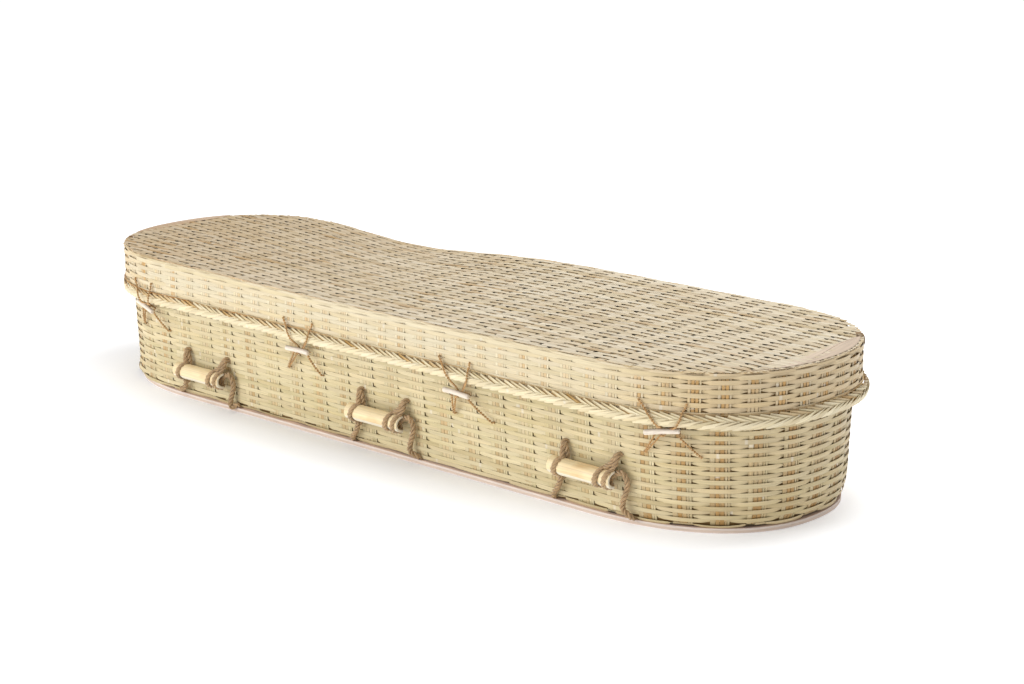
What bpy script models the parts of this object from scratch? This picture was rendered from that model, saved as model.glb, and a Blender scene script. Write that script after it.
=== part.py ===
"""Bamboo coffin: a long oval basket with a deep woven lid, rope-slung grips and toggle ties.

Metres, +Z up. The origin is on the floor under the middle of the base board.
+X points to the head end, -Y to the near long side.
"""
import math

import bmesh
import bpy
from mathutils import Vector

# Plan of the lid, over its woven wall
LID_LENGTH = 1.930
LID_WIDTH = 0.604
LID_END_DEPTH = 0.335
PLAN_ROUNDNESS = 2.25
END_SEGMENTS = 18

# Woven walls
WEAVE_THICKNESS = 0.006
GAP = 0.0003

# Heights, from the floor up
BOARD_THICKNESS = 0.010
ROPE_PRESSED = 0.0036
BODY_HEIGHT = 0.3000
LID_SKIRT = 0.102
SLAT_THICKNESS = 0.0022

# How the body sits inside the lid, and how its walls lean in towards the floor
LID_FIT_SIDE = 0.019
LID_FIT_END = 0.008
BODY_LEAN_SIDE = 0.018
BODY_LEAN_END = 0.005
BOARD_LEDGE = 0.008

# Rounded edges
BODY_CORNER = 0.008
LID_CORNER = 0.010

# Plaited borders and canes
LID_PLAIT_HEIGHT = 0.026
LID_PLAIT_THICKNESS = 0.015
BODY_PLAIT_HEIGHT = 0.020
BODY_PLAIT_THICKNESS = 0.005
BODY_PLAIT_BELOW_EDGE = 0.005
LID_EDGE_CANE = 0.0050
LID_RIM_CANE = 0.0045
# The lid plait's section, in shares of its thickness and its height
LID_PLAIT_SECTION = ((0.0, 0.0), (0.7, 0.0), (1.0, 0.25), (0.75, 0.65), (0.3, 1.0), (0.0, 1.0))

# Flat slats that fill the lid's two rounded ends
SLAT_CHORD = 0.072
SLAT_INSET = 0.012

# Grips: split culms, each slung on two ropes
GRIP_END_MARGIN = 0.398
ROW_SHIFT = 0.029
GRIP_HEIGHTS = (0.070, 0.084, 0.088)
GRIP_LENGTH = 0.165
GRIP_RADIUS = 0.021
GRIP_WALL = 0.0055
GRIP_STANDOFF = 0.016
GRIP_ARC_STEPS = 7
GROOVE_WIDTH = 0.0085
GROOVE_DEPTH = 0.0032
GRIP_NAMES = ("foot", "middle", "head")

# Ropes
ROPE_DIAMETER = 0.012
ROPE_IN_GROOVE = 0.0066
ROPE_SPACING = 0.106
ROPE_DROP = 0.060
ROPE_SKIM = 0.002
ROPE_LEAN = 0.038
ROPE_FOOT_DRIFT = 0.022
CURL_FOOT_DRIFT = 0.058
# The rope's turn over a grip, in degrees about the grip's axis, and its flattening below the basket
WRAP_FROM = 78.0
WRAP_STEP = 26.0
WRAP_POINTS = 7
ROPE_FLATTENING = ((180.0, 0.90), (225.0, 0.52), (270.0, ROPE_PRESSED / ROPE_DIAMETER))

# Ties: a peeled stick held by a cord from the lid and a cord from the body
TIE_END_MARGIN = 0.216
TIE_INNER_SPACING = 0.456
TOGGLE_DROPS = (0.0215, 0.0315, 0.0345, 0.0205)
TOGGLE_TILTS = (12.0, 0.0, 3.0, -8.0)
TOGGLE_LENGTH = 0.070
TOGGLE_DIAMETER = 0.0095
TOGGLE_STANDOFF = 0.016
TIE_CORD = 0.0042
LID_TIE_REACH = 0.045
LID_TIE_RISE = 0.042
BODY_TIE_RISE = 0.052
BODY_TIE_LEFT = 0.034
BODY_TIE_RIGHT = 0.070
# How far the lid cord's legs have closed in on their way down, and how loosely a cord holds the stick
LID_LEG_SHARES = (1.00, 0.85, 0.70, 0.55, 0.45, 0.20)
BODY_LEG_SHARE = 0.16
TIE_HOLD = 1.45

# Places that follow from the sizes above
BODY_FLOOR = BOARD_THICKNESS + ROPE_PRESSED + 2 * GAP
BODY_TOP = BODY_FLOOR + BODY_HEIGHT
LID_PANEL_TOP = BODY_TOP + GAP + WEAVE_THICKNESS
LID_BOTTOM = LID_PANEL_TOP - LID_SKIRT
LID_PLAN = (LID_LENGTH / 2, LID_WIDTH / 2, LID_END_DEPTH)
BODY_TOP_PLAN = (
    LID_PLAN[0] - WEAVE_THICKNESS - LID_FIT_END,
    LID_PLAN[1] - WEAVE_THICKNESS - LID_FIT_SIDE,
    LID_PLAN[2] - WEAVE_THICKNESS - LID_FIT_SIDE,
)
BODY_FOOT_PLAN = (
    BODY_TOP_PLAN[0] - BODY_LEAN_END,
    BODY_TOP_PLAN[1] - BODY_LEAN_SIDE,
    BODY_TOP_PLAN[2] - BODY_LEAN_SIDE,
)
BOARD_PLAN = (BODY_FOOT_PLAN[0], BODY_FOOT_PLAN[1] + BOARD_LEDGE, BODY_FOOT_PLAN[2] + BOARD_LEDGE)
BODY_WALL_FOOT = BODY_FLOOR + BODY_CORNER
GRIP_SPACING = LID_PLAN[0] - GRIP_END_MARGIN
TIE_POSITIONS = (
    ROW_SHIFT - LID_PLAN[0] + TIE_END_MARGIN,
    ROW_SHIFT - TIE_INNER_SPACING / 2,
    ROW_SHIFT + TIE_INNER_SPACING / 2,
    ROW_SHIFT + LID_PLAN[0] - TIE_END_MARGIN,
)

COLOURS = {
    "plywood": (0.72, 0.55, 0.43, 0.75),
    "woven_bamboo": (0.74, 0.62, 0.38, 0.55),
    "plaited_bamboo": (0.72, 0.58, 0.33, 0.55),
    "cane": (0.52, 0.32, 0.14, 0.50),
    "flat_slat": (0.68, 0.52, 0.38, 0.50),
    "culm": (0.76, 0.60, 0.30, 0.42),
    "jute_rope": (0.44, 0.31, 0.18, 0.90),
    "peeled_stick": (0.86, 0.80, 0.68, 0.60),
    "jute_cord": (0.42, 0.28, 0.13, 0.90),
}


def clear_scene():
    for thing in list(bpy.data.objects):
        bpy.data.objects.remove(thing, do_unlink=True)


def make_material(name, colour):
    material = bpy.data.materials.new(name)
    material.use_nodes = True
    shader = material.node_tree.nodes["Principled BSDF"]
    shader.inputs["Base Color"].default_value = (*colour[:3], 1.0)
    shader.inputs["Roughness"].default_value = colour[3]
    shader.inputs["Metallic"].default_value = 0.0
    material.diffuse_color = (*colour[:3], 1.0)
    return material


def put(name, data, finish):
    """Makes one named piece with a material of its own."""
    piece = bpy.data.objects.new(name, data)
    data.materials.append(make_material(name + "_finish", COLOURS[finish]))
    parts.objects.link(piece)
    return piece


def oval(plan, offset, height):
    """The oval outline, anticlockwise from above: straight sides and two half-superellipse ends."""
    length, width, depth = (size + offset for size in plan)
    power = 2 / PLAN_ROUNDNESS
    points = []
    for side in (1, -1):
        for step in range(END_SEGMENTS + 1):
            angle = math.pi * (step / END_SEGMENTS - 0.5)
            across = math.copysign(abs(math.sin(angle)) ** power, angle)
            along = length - depth + depth * max(math.cos(angle), 0.0) ** power
            points.append(Vector((side * along, side * width * across, height)))
    return points


def wall_at(plan, offset, place):
    """The near wall's point at a place along X, and the direction straight out of it."""
    length, width, depth = (size + offset for size in plan)

    def edge(x):
        past = max(abs(x) - (length - depth), 0.0) / depth
        return width * (1 - past ** PLAN_ROUNDNESS) ** (1 / PLAN_ROUNDNESS)

    step = 0.001
    slope = (edge(place + step) - edge(place - step)) / (2 * step)
    outward = Vector((-slope, -1.0, 0.0)).normalized()
    return Vector((place, -edge(place), 0.0)), outward


def body_plan(height):
    """The basket's outer outline at a height, between its foot and the line of the lid."""
    share = min(max((height - BODY_WALL_FOOT) / (LID_BOTTOM - BODY_WALL_FOOT), 0.0), 1.0)
    return tuple(foot + (top - foot) * share for foot, top in zip(BODY_FOOT_PLAN, BODY_TOP_PLAN))


def loft(name, sections, closed=False):
    """Joins outlines of equal count, listed from the bottom up or round a closed profile."""
    mesh = bpy.data.meshes.new(name)
    bm = bmesh.new()
    rows = [[bm.verts.new(point) for point in section] for section in sections]
    pairs = list(zip(rows, rows[1:]))
    if closed:
        pairs.append((rows[-1], rows[0]))
    for low, high in pairs:
        for here in range(len(low)):
            there = (here + 1) % len(low)
            bm.faces.new((low[here], low[there], high[there], high[here]))
    return mesh, bm, rows


def finish_mesh(mesh, bm):
    bm.to_mesh(mesh)
    bm.free()
    mesh.shade_smooth()
    mesh.set_sharp_from_angle(angle=math.radians(40))


def make_shell(name, sections, floor_first):
    """A woven shell: an open surface with one flat panel, given its wall thickness inwards."""
    mesh, bm, rows = loft(name, sections)
    if floor_first:
        bm.faces.new(list(reversed(rows[0])))
    else:
        bm.faces.new(rows[-1])
    finish_mesh(mesh, bm)
    piece = put(name, mesh, "woven_bamboo")
    wall = piece.modifiers.new("wall", "SOLIDIFY")
    wall.thickness = WEAVE_THICKNESS
    wall.offset = -1
    wall.use_even_offset = True


def make_band(name, plan_of, profile, finish):
    """A border that runs round the oval with one closed profile of (offset, height) points."""
    sections = [oval(plan_of(height), offset, height) for offset, height in profile]
    mesh, bm, _ = loft(name, sections, closed=True)
    finish_mesh(mesh, bm)
    put(name, mesh, finish)


def make_tube(name, points, diameter, finish, cyclic=False, detail=1):
    """A round strand. Each point may carry a fourth number, its share of the diameter."""
    curve = bpy.data.curves.new(name, "CURVE")
    curve.dimensions = "3D"
    curve.bevel_depth = diameter / 2
    curve.bevel_resolution = detail
    curve.render_resolution_u = 0
    curve.use_fill_caps = True
    spline = curve.splines.new("POLY")
    spline.points.add(len(points) - 1)
    for knot, point in zip(spline.points, points):
        knot.co = (point[0], point[1], point[2], 1.0)
        knot.radius = point[3] if len(point) > 3 else 1.0
    spline.use_cyclic_u = cyclic
    spline.use_smooth = True
    put(name, curve, finish)


def make_plate(name, outline, thickness, height, finish):
    """A flat plate: a filled outline, thickened evenly about its middle."""
    curve = bpy.data.curves.new(name, "CURVE")
    curve.dimensions = "2D"
    curve.fill_mode = "BOTH"
    curve.extrude = thickness / 2
    curve.render_resolution_u = 0
    spline = curve.splines.new("POLY")
    spline.points.add(len(outline) - 1)
    for knot, point in zip(spline.points, outline):
        knot.co = (point[0], point[1], 0.0, 1.0)
    spline.use_cyclic_u = True
    piece = put(name, curve, finish)
    piece.location.z = height + thickness / 2


def smooth_route(knots, spans):
    """Reads a smooth curve through the route's own points, with so many steps in each span."""
    ends = [knots[0]] + list(knots) + [knots[-1]]
    route = []
    for place, steps in enumerate(spans):
        before, start, stop, after = (ends[place + near] for near in range(4))
        for step in range(steps):
            t = step / steps
            route.append(tuple(
                0.5 * (2 * b + (c - a) * t + (2 * a - 5 * b + 4 * c - d) * t ** 2
                       + (3 * b - a - 3 * c + d) * t ** 3)
                for a, b, c, d in zip(before, start, stop, after)))
    route.append(tuple(knots[-1]))
    return route


def make_board():
    make_plate("base_board", oval(BOARD_PLAN, 0.0, 0.0), BOARD_THICKNESS, 0.0, "plywood")


def make_body():
    halfway = BODY_CORNER * (1 - math.sqrt(0.5))
    sections = [
        oval(BODY_FOOT_PLAN, -BODY_CORNER, BODY_FLOOR),
        oval(BODY_FOOT_PLAN, -halfway, BODY_FLOOR + halfway),
        oval(BODY_FOOT_PLAN, 0.0, BODY_WALL_FOOT),
        oval(BODY_TOP_PLAN, 0.0, LID_BOTTOM),
        oval(BODY_TOP_PLAN, 0.0, BODY_TOP),
    ]
    make_shell("body_basket", sections, floor_first=True)
    inside = GAP
    outside = GAP + BODY_PLAIT_THICKNESS
    high = BODY_TOP - BODY_PLAIT_BELOW_EDGE
    low = high - BODY_PLAIT_HEIGHT
    profile = [(inside, low), (outside, low), (outside, high), (inside, high)]
    make_band("body_rim_plait", body_plan, profile, "plaited_bamboo")


def make_lid():
    halfway = LID_CORNER * (1 - math.sqrt(0.5))
    sections = [
        oval(LID_PLAN, 0.0, LID_BOTTOM),
        oval(LID_PLAN, 0.0, LID_PANEL_TOP - LID_CORNER),
        oval(LID_PLAN, -halfway, LID_PANEL_TOP - halfway),
        oval(LID_PLAN, -LID_CORNER, LID_PANEL_TOP),
    ]
    make_shell("lid_basket", sections, floor_first=False)
    profile = [
        (GAP + out * LID_PLAIT_THICKNESS, LID_BOTTOM + up * LID_PLAIT_HEIGHT)
        for out, up in LID_PLAIT_SECTION
    ]
    make_band("lid_rim_plait", lambda height: LID_PLAN, profile, "plaited_bamboo")
    cane_height = LID_BOTTOM + LID_PLAIT_HEIGHT + GAP + LID_RIM_CANE / 2
    cane_offset = GAP + LID_RIM_CANE / 2
    make_tube("lid_rim_cane", oval(LID_PLAN, cane_offset, cane_height), LID_RIM_CANE, "cane", cyclic=True)
    edge_offset = GAP + LID_EDGE_CANE / 2
    edge_height = LID_PANEL_TOP - LID_CORNER
    make_tube("lid_edge_cane", oval(LID_PLAN, edge_offset, edge_height), LID_EDGE_CANE, "cane", cyclic=True)


def make_end_slats():
    """The crescent between the woven panel's straight end and the rounded rim, at each end."""
    chord = LID_PLAN[0] - SLAT_CHORD
    rim = [point for point in oval(LID_PLAN, -SLAT_INSET, 0.0) if point.x > chord]
    edge, _ = wall_at(LID_PLAN, -SLAT_INSET, chord)
    crescent = [(edge.x, edge.y)] + [(point.x, point.y) for point in rim] + [(edge.x, -edge.y)]
    for name, side in (("lid_end_slat_head", 1), ("lid_end_slat_foot", -1)):
        outline = [(side * x, side * y) for x, y in crescent]
        make_plate(name, outline, SLAT_THICKNESS, LID_PANEL_TOP + GAP, "flat_slat")


def make_grip(name, middle, side, height):
    """A half-split culm, hollow towards the wall, with a groove for each rope."""
    wall, _ = wall_at(body_plan(height), 0.0, middle)
    back = wall.y - GRIP_STANDOFF
    inner = GRIP_RADIUS - GRIP_WALL
    cuts = []
    for groove in (-ROPE_SPACING / 2, ROPE_SPACING / 2):
        for edge in (-GROOVE_WIDTH / 2, GROOVE_WIDTH / 2):
            cuts.append(groove + edge)
    deep = GRIP_RADIUS - GROOVE_DEPTH
    radii = [GRIP_RADIUS, GRIP_RADIUS, deep, deep, GRIP_RADIUS]
    radii = radii + radii[1:] + [GRIP_RADIUS]
    places = [-GRIP_LENGTH / 2] + [cut for cut in cuts for _ in range(2)] + [GRIP_LENGTH / 2]
    sections = []
    for place, outer in zip(places, radii):
        section = []
        for radius, turn in ((outer, 1), (inner, -1)):
            for step in range(GRIP_ARC_STEPS + 1):
                angle = turn * math.pi * (step / GRIP_ARC_STEPS - 0.5)
                across = back - radius * math.cos(angle)
                section.append(Vector((middle + place, across, height + radius * math.sin(angle))))
        sections.append(section)
    mesh, bm, rows = loft(name, sections)
    bm.faces.new(rows[0])
    bm.faces.new(list(reversed(rows[-1])))
    if side > 0:
        bmesh.ops.scale(bm, vec=(1.0, -1.0, 1.0), verts=bm.verts)
    bmesh.ops.recalc_face_normals(bm, faces=bm.faces)
    finish_mesh(mesh, bm)
    put(name, mesh, "culm")


def sling_side(band, height, curled):
    """One side's half of a rope: out of the wall, over the grip, down and under the basket.

    Each point is written as a distance along X from the groove, a distance out from the wall,
    a height above the grip's axis and a share of the rope's diameter.
    """
    turns = [math.radians(WRAP_FROM - WRAP_STEP * step) for step in range(WRAP_POINTS)]
    lead = ROPE_IN_GROOVE / 2 + GRIP_RADIUS - GROOVE_DEPTH + GAP
    lead = lead / math.cos(math.radians(WRAP_STEP) / 2)
    thin = ROPE_IN_GROOVE / ROPE_DIAMETER
    thick = ROPE_DIAMETER / 2
    out = GRIP_STANDOFF
    anchor = GAP + 0.2 * thick
    skim = thick + ROPE_SKIM
    past_end = (GRIP_LENGTH - ROPE_SPACING) / 2 + thick
    arc = [(0.0, out + lead * math.cos(turn), lead * math.sin(turn), thin) for turn in turns]
    if curled:
        lean = ROPE_LEAN
        turned = [
            (0.5 * thick, out - 0.75 * thick, -lead - 0.1 * thick, thin),
            (1.5 * thick, skim, -0.8 * lead, 0.9),
            (2.7 * thick, skim, -thick, 1.0),
            (past_end - 0.7 * thick, skim, thick, 1.0),
            (past_end + 1.8 * thick, out, 1.3 * thick, 1.0),
            (past_end + 3.3 * thick, out, -1.7 * thick, 1.0),
        ]
        drift = CURL_FOOT_DRIFT
    else:
        lean = -ROPE_SKIM
        turned = [
            (0.0, out, -lead - 0.3 * thick, thin),
            (-thick, out - thick, -lead - 1.8 * thick, 1.0),
        ]
        drift = -ROPE_FOOT_DRIFT
    start = [
        (lean, anchor, ROPE_DROP, 1.0),
        (lean, skim, ROPE_DROP, 1.0),
        (0.37 * lean, out, lead + 2.2 * thick, 1.0),
    ]
    knots = []
    for along, outward, above, share in start + arc + turned:
        beside = height + above if above == ROPE_DROP else height
        wall, _ = wall_at(body_plan(beside), 0.0, band + along)
        knots.append((band + along, wall.y - outward, height + above, share))
    foot = -BODY_FOOT_PLAN[1]
    below = ROPE_FLATTENING[-1][0]
    for turn, share in ROPE_FLATTENING:
        away = BODY_CORNER + GAP + share * thick + GAP * (below - turn) / 90
        across = foot + BODY_CORNER + away * math.cos(math.radians(turn))
        level = BODY_WALL_FOOT + away * math.sin(math.radians(turn))
        knots.append((band + drift, across, level, share))
    spans = [1, 1, 2] + [1] * len(arc) + [2] * (len(turned) - 1) + [2, 2, 2]
    return smooth_route(knots, spans)


def make_slings():
    """Each rope runs whole from the near grip, pressed flat under the basket, to the far grip."""
    for place, (label, height) in enumerate(zip(GRIP_NAMES, GRIP_HEIGHTS)):
        middle = ROW_SHIFT + (place - 1) * GRIP_SPACING
        for end, curled in (("foot", False), ("head", True)):
            band = middle + (ROPE_SPACING / 2 if curled else -ROPE_SPACING / 2)
            near = sling_side(band, height, curled)
            far = [(x, -y, z, share) for x, y, z, share in reversed(near)]
            make_tube(f"rope_{label}_{end}", near + far, ROPE_DIAMETER, "jute_rope")


def make_grips():
    for place, (label, height) in enumerate(zip(GRIP_NAMES, GRIP_HEIGHTS)):
        middle = ROW_SHIFT + (place - 1) * GRIP_SPACING
        for face, side in (("near", -1), ("far", 1)):
            make_grip(f"grip_{label}_{face}", middle, side, height)


def tie_point(place, along, outward, height, plan):
    """A point measured along the wall from a tie's middle, and straight out from the wall."""
    wall, direction = wall_at(plan, 0.0, place)
    run = Vector((-direction.y, direction.x, 0.0))
    point, normal = wall_at(plan, 0.0, (wall + run * along).x)
    spot = point + normal * outward
    return Vector((spot.x, spot.y, height))


def tie_routes(place, height):
    """The toggle's two ends, and the routes of the cord from the lid and the cord from the body."""
    thick = TIE_CORD / 2
    plan = body_plan(height)
    hold = TIE_HOLD * (TOGGLE_DIAMETER / 2 + GAP + thick)
    anchor = GAP + 0.6 * thick
    clear = GAP + 1.6 * thick
    top, over, upper, middle, lower, held = LID_LEG_SHARES
    lid_leg = [
        (top, anchor, LID_TIE_RISE),
        (top, 2 * clear, LID_TIE_RISE),
        (over, GAP + LID_RIM_CANE + clear, LID_PLAIT_HEIGHT + LID_RIM_CANE + clear),
        (upper, 0.75 * LID_PLAIT_THICKNESS + clear, 0.70 * LID_PLAIT_HEIGHT),
        (middle, LID_PLAIT_THICKNESS + clear, 0.30 * LID_PLAIT_HEIGHT),
        (lower, LID_PLAIT_THICKNESS + clear, -thick),
    ]
    lid_knots = []
    body_knots = []
    for side in (-1, 1):
        leg = [
            tie_point(place, side * share * LID_TIE_REACH, outward, LID_BOTTOM + rise, LID_PLAN)
            for share, outward, rise in lid_leg
        ]
        leg.append(tie_point(place, side * held * LID_TIE_REACH, TOGGLE_STANDOFF + hold, height, plan))
        lid_knots = lid_knots + leg if side < 0 else lid_knots + leg[::-1]
        if side < 0:
            lid_knots.append(tie_point(place, 0.0, TOGGLE_STANDOFF + 0.5 * thick, height - hold, plan))
        span = -BODY_TIE_LEFT if side < 0 else BODY_TIE_RIGHT
        low = height - BODY_TIE_RISE
        leg = [
            tie_point(place, span, anchor, low, body_plan(low)),
            tie_point(place, span, 2 * clear, low, body_plan(low)),
            tie_point(place, BODY_LEG_SHARE * span, TOGGLE_STANDOFF - hold, height, plan),
        ]
        body_knots = body_knots + leg if side < 0 else body_knots + leg[::-1]
        if side < 0:
            body_knots.append(tie_point(place, 0.0, TOGGLE_STANDOFF - 0.7 * thick, height + hold, plan))
    return lid_knots, body_knots


def make_ties():
    for number, place in enumerate(TIE_POSITIONS):
        height = LID_BOTTOM - TOGGLE_DROPS[number]
        tilt = math.radians(TOGGLE_TILTS[number])
        plan = body_plan(height)
        centre = tie_point(place, 0.0, TOGGLE_STANDOFF, height, plan)
        _, direction = wall_at(plan, 0.0, place)
        run = Vector((-direction.y, direction.x, 0.0)) * math.cos(tilt)
        run.z = -math.sin(tilt)
        stick = [centre - run * TOGGLE_LENGTH / 2, centre + run * TOGGLE_LENGTH / 2]
        lid_knots, body_knots = tie_routes(place, height)
        lid_cord = smooth_route(lid_knots, [1] * 6 + [2] * 2 + [1] * 6)
        body_cord = smooth_route(body_knots, [1, 2, 2, 2, 2, 1])
        for face, side in (("near", 1), ("far", -1)):
            label = f"{number + 1}_{face}"
            for name, points, diameter, finish in (
                    ("tie_toggle_", stick, TOGGLE_DIAMETER, "peeled_stick"),
                    ("tie_lid_cord_", lid_cord, TIE_CORD, "jute_cord"),
                    ("tie_body_cord_", body_cord, TIE_CORD, "jute_cord")):
                placed = [(point[0], side * point[1], point[2]) for point in points]
                make_tube(name + label, placed, diameter, finish)


clear_scene()
parts = bpy.data.collections.new("bamboo_coffin")
bpy.context.scene.collection.children.link(parts)
make_board()
make_body()
make_lid()
make_end_slats()
make_grips()
make_slings()
make_ties()
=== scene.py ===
"""Bamboo coffin: the woven basket and lid, the rope-slung grips and the toggle ties.

Metres, +Z up. +X points to the head end and -Y to the near long side.
"""
import math

import bmesh
import bpy
import numpy as np
from mathutils import Matrix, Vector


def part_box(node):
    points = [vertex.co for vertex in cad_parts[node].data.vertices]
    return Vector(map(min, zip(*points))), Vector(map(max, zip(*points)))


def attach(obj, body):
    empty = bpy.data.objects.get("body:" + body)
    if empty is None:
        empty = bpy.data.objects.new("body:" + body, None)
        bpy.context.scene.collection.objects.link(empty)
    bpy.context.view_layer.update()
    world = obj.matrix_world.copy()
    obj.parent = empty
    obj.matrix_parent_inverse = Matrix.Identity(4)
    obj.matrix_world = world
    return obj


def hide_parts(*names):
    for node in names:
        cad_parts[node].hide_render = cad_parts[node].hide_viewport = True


bl_info = {
    "name": "Bamboo coffin",
    "version": (1, 0, 0),
    "blender": (4, 5, 0),
    "location": "3D View > Sidebar > Coffin",
    "description": "Builds the woven and roped pieces of a bamboo coffin on its packed part",
    "category": "Add Mesh",
}

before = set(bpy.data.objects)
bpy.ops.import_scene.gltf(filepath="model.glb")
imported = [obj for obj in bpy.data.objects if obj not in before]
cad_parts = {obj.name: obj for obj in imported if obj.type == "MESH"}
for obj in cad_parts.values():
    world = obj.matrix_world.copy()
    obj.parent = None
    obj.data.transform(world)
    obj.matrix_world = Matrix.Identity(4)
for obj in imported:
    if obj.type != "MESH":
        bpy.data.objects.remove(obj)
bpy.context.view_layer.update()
BOARD_LOW, BOARD_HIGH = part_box("base_board")
BODY_LOW, BODY_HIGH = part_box("body_basket")
LID_LOW, LID_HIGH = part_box("lid_basket")
SLAT_LOW, SLAT_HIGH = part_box("lid_end_slat_head")

# Outlines of the oval: half length, half width and depth of each rounded end
ROUNDNESS = 2.25
LID_PLAN = (LID_HIGH.x, LID_HIGH.y, 0.335)
BODY_TOP_PLAN = (BODY_HIGH.x, BODY_HIGH.y, 0.310)
BODY_FOOT_PLAN = (0.946, 0.2625, 0.300)
BOARD_PLAN = (BOARD_HIGH.x - 0.003, BOARD_HIGH.y, 0.345)
BOARD_SHIFT = -0.003

# Walls and edges
WALL = 0.006
LID_CORNER = 0.0055
BODY_CORNER = 0.0035
GAP = 0.0003
FOOT_END_TUCK = 0.005
LID_TUCK = 0.008
LID_BOTTOM = LID_LOW.z
LID_TOP = LID_HIGH.z
LID_SIDE = LID_TOP - LID_BOTTOM - LID_CORNER
BODY_FLOOR = BODY_LOW.z
BODY_WALL_FOOT = BODY_FLOOR + BODY_CORNER
BODY_TOP = BODY_HIGH.z
LID_PLAIT_HEIGHT = 0.0225
LID_PLAIT_THICKNESS = 0.0140
LID_RIM_CANE = 0.0045

# Grips and ropes
GRIP_HEIGHTS = (0.070, 0.084, 0.088)
GRIP_NAMES = ("foot", "middle", "head")
ROW_SHIFT = 0.029
GRIP_SPACING = 0.567
GRIP_LENGTH = 0.165
GRIP_RADIUS = 0.021
GRIP_FLATNESS = 0.86
GRIP_STANDOFF = 0.016
GROOVE_DEPTH = 0.0032
ROPE_DIAMETER = 0.012
ROPE_IN_GROOVE = 0.0066
ROPE_SPACING = 0.106
ROPE_DROP = 0.047
ROPE_SKIM = 0.002
ROPE_LEAN = 0.031
ROPE_PRESSED = 0.0036

# Ties
TIE_PLACES = (-0.720, -0.199, 0.257, 0.778)
TOGGLE_DROPS = (0.0205, 0.0315, 0.0370, 0.0180)
TOGGLE_TILTS = (12.0, 0.0, 3.0, -8.0)
TOGGLE_LENGTH = 0.070
TOGGLE_DIAMETER = 0.0108
TOGGLE_SHIFTS = (0.0, 0.0, 0.014, -0.004)
TOGGLE_STANDOFF = 0.016
TIE_CORD = 0.0054
LID_TIE_HOLES = ((-0.030, 0.043), (-0.029, 0.061), (-0.021, 0.063), (-0.041, 0.051))
LID_TIE_RISES = (0.042, 0.038, 0.036, 0.041)
BODY_TIE_HOLES = ((-0.034, 0.070), (-0.047, 0.059), (-0.008, 0.099), (-0.045, 0.062))
BODY_TIE_RISE = 0.048


def linear(code):
    """An sRGB hex colour as linear red, green, blue and alpha."""
    parts = [int(code[at:at + 2], 16) / 255 for at in (0, 2, 4)]
    return tuple(p / 12.92 if p <= 0.04045 else ((p + 0.055) / 1.055) ** 2.4 for p in parts) + (1.0,)


def length_setting(label, default, note):
    return bpy.props.FloatProperty(name=label, description=note, default=default, subtype="DISTANCE",
                                   unit="LENGTH", precision=4, min=0.0)


def colour_setting(label, code, note):
    return bpy.props.FloatVectorProperty(name=label, description=note, default=linear(code), size=4,
                                         subtype="COLOR", min=0.0, max=1.0)


class CoffinSizes(bpy.types.PropertyGroup):
    row_pitch: length_setting("Row pitch", 0.0087, "Height taken by one woven strip of the walls")
    strip_width: length_setting("Strip width", 0.0090, "Width of one woven strip of the walls")
    strip_thickness: length_setting("Strip thickness", 0.0009, "Thickness of the split bamboo")
    top_pitch: length_setting("Top strip pitch", 0.0106, "Width taken by one lengthwise strip of the lid")
    body_bundle: length_setting("Body stave spacing", 0.0735, "Distance between bundles of body staves")
    lid_bundle: length_setting("Lid stave spacing", 0.0560, "Distance between bundles of lid staves")
    near_sag: length_setting("Near sag", 0.0060, "How far the lid has sunk at its near side")
    far_sag: length_setting("Far sag", 0.0280, "How far the lid has sunk at its far side")
    plait_pitch: length_setting("Plait pitch", 0.0205, "Distance between chevrons of the lid's plait")
    rope_lay: length_setting("Rope lay", 0.0300, "Length of one full turn of a rope strand")
    cord_lay: length_setting("Cord lay", 0.0120, "Length of one full turn of a cord strand")


class CoffinColours(bpy.types.PropertyGroup):
    strip: colour_setting("Strip", "E0D1A8", "Pale straw of the body's strips")
    strip_dull: colour_setting("Dull strip", "C9B986", "Duller strips with the skin still on")
    stave: colour_setting("Stave", "BF965A", "Tan of the staves behind the strips")
    lid_strip: colour_setting("Lid strip", "E3D7B8", "Paler strips of the lid's side")
    top_strip: colour_setting("Top strip", "E9DCC2", "Warm strips of the lid's top")
    culm: colour_setting("Culm", "F4DEB0", "Tan skin of the split grips")
    cut: colour_setting("Cut bamboo", "F0E6CE", "Pale cut wall of a culm")
    cane: colour_setting("Cane", "C08D4E", "Brown of the binding canes")
    slat: colour_setting("Slat", "D9C6B0", "Pinkish tan of the bent end slats")
    rope: colour_setting("Rope", "B99A72", "Brown of the jute rope")
    cord: colour_setting("Cord", "C99F68", "Brown of the jute cord")
    stick: colour_setting("Peeled stick", "F1E4D2", "Pinkish white of the toggles")
    ply: colour_setting("Plywood", "EADBD0", "Pale plies of the board's edge")
    veneer: colour_setting("Veneer", "CFAE9B", "Reddish face of the plywood")


def sizes():
    return bpy.context.scene.coffin_sizes


def colours():
    return bpy.context.scene.coffin_colours


# Materials

def add(tree, kind, values, **settings):
    """Adds one node, with its settings and with values or sockets on its inputs."""
    node = tree.nodes.new(kind)
    for key, value in settings.items():
        setattr(node, key, value)
    for key, value in values.items():
        if isinstance(value, bpy.types.NodeSocket):
            tree.links.new(value, node.inputs[key])
        else:
            node.inputs[key].default_value = value
    return node


def new_material(name):
    """An empty material: its tree and its shader."""
    material = bpy.data.materials.new(name)
    material.use_nodes = True
    tree = material.node_tree
    shader = tree.nodes["Principled BSDF"]
    return material, tree, shader


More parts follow.
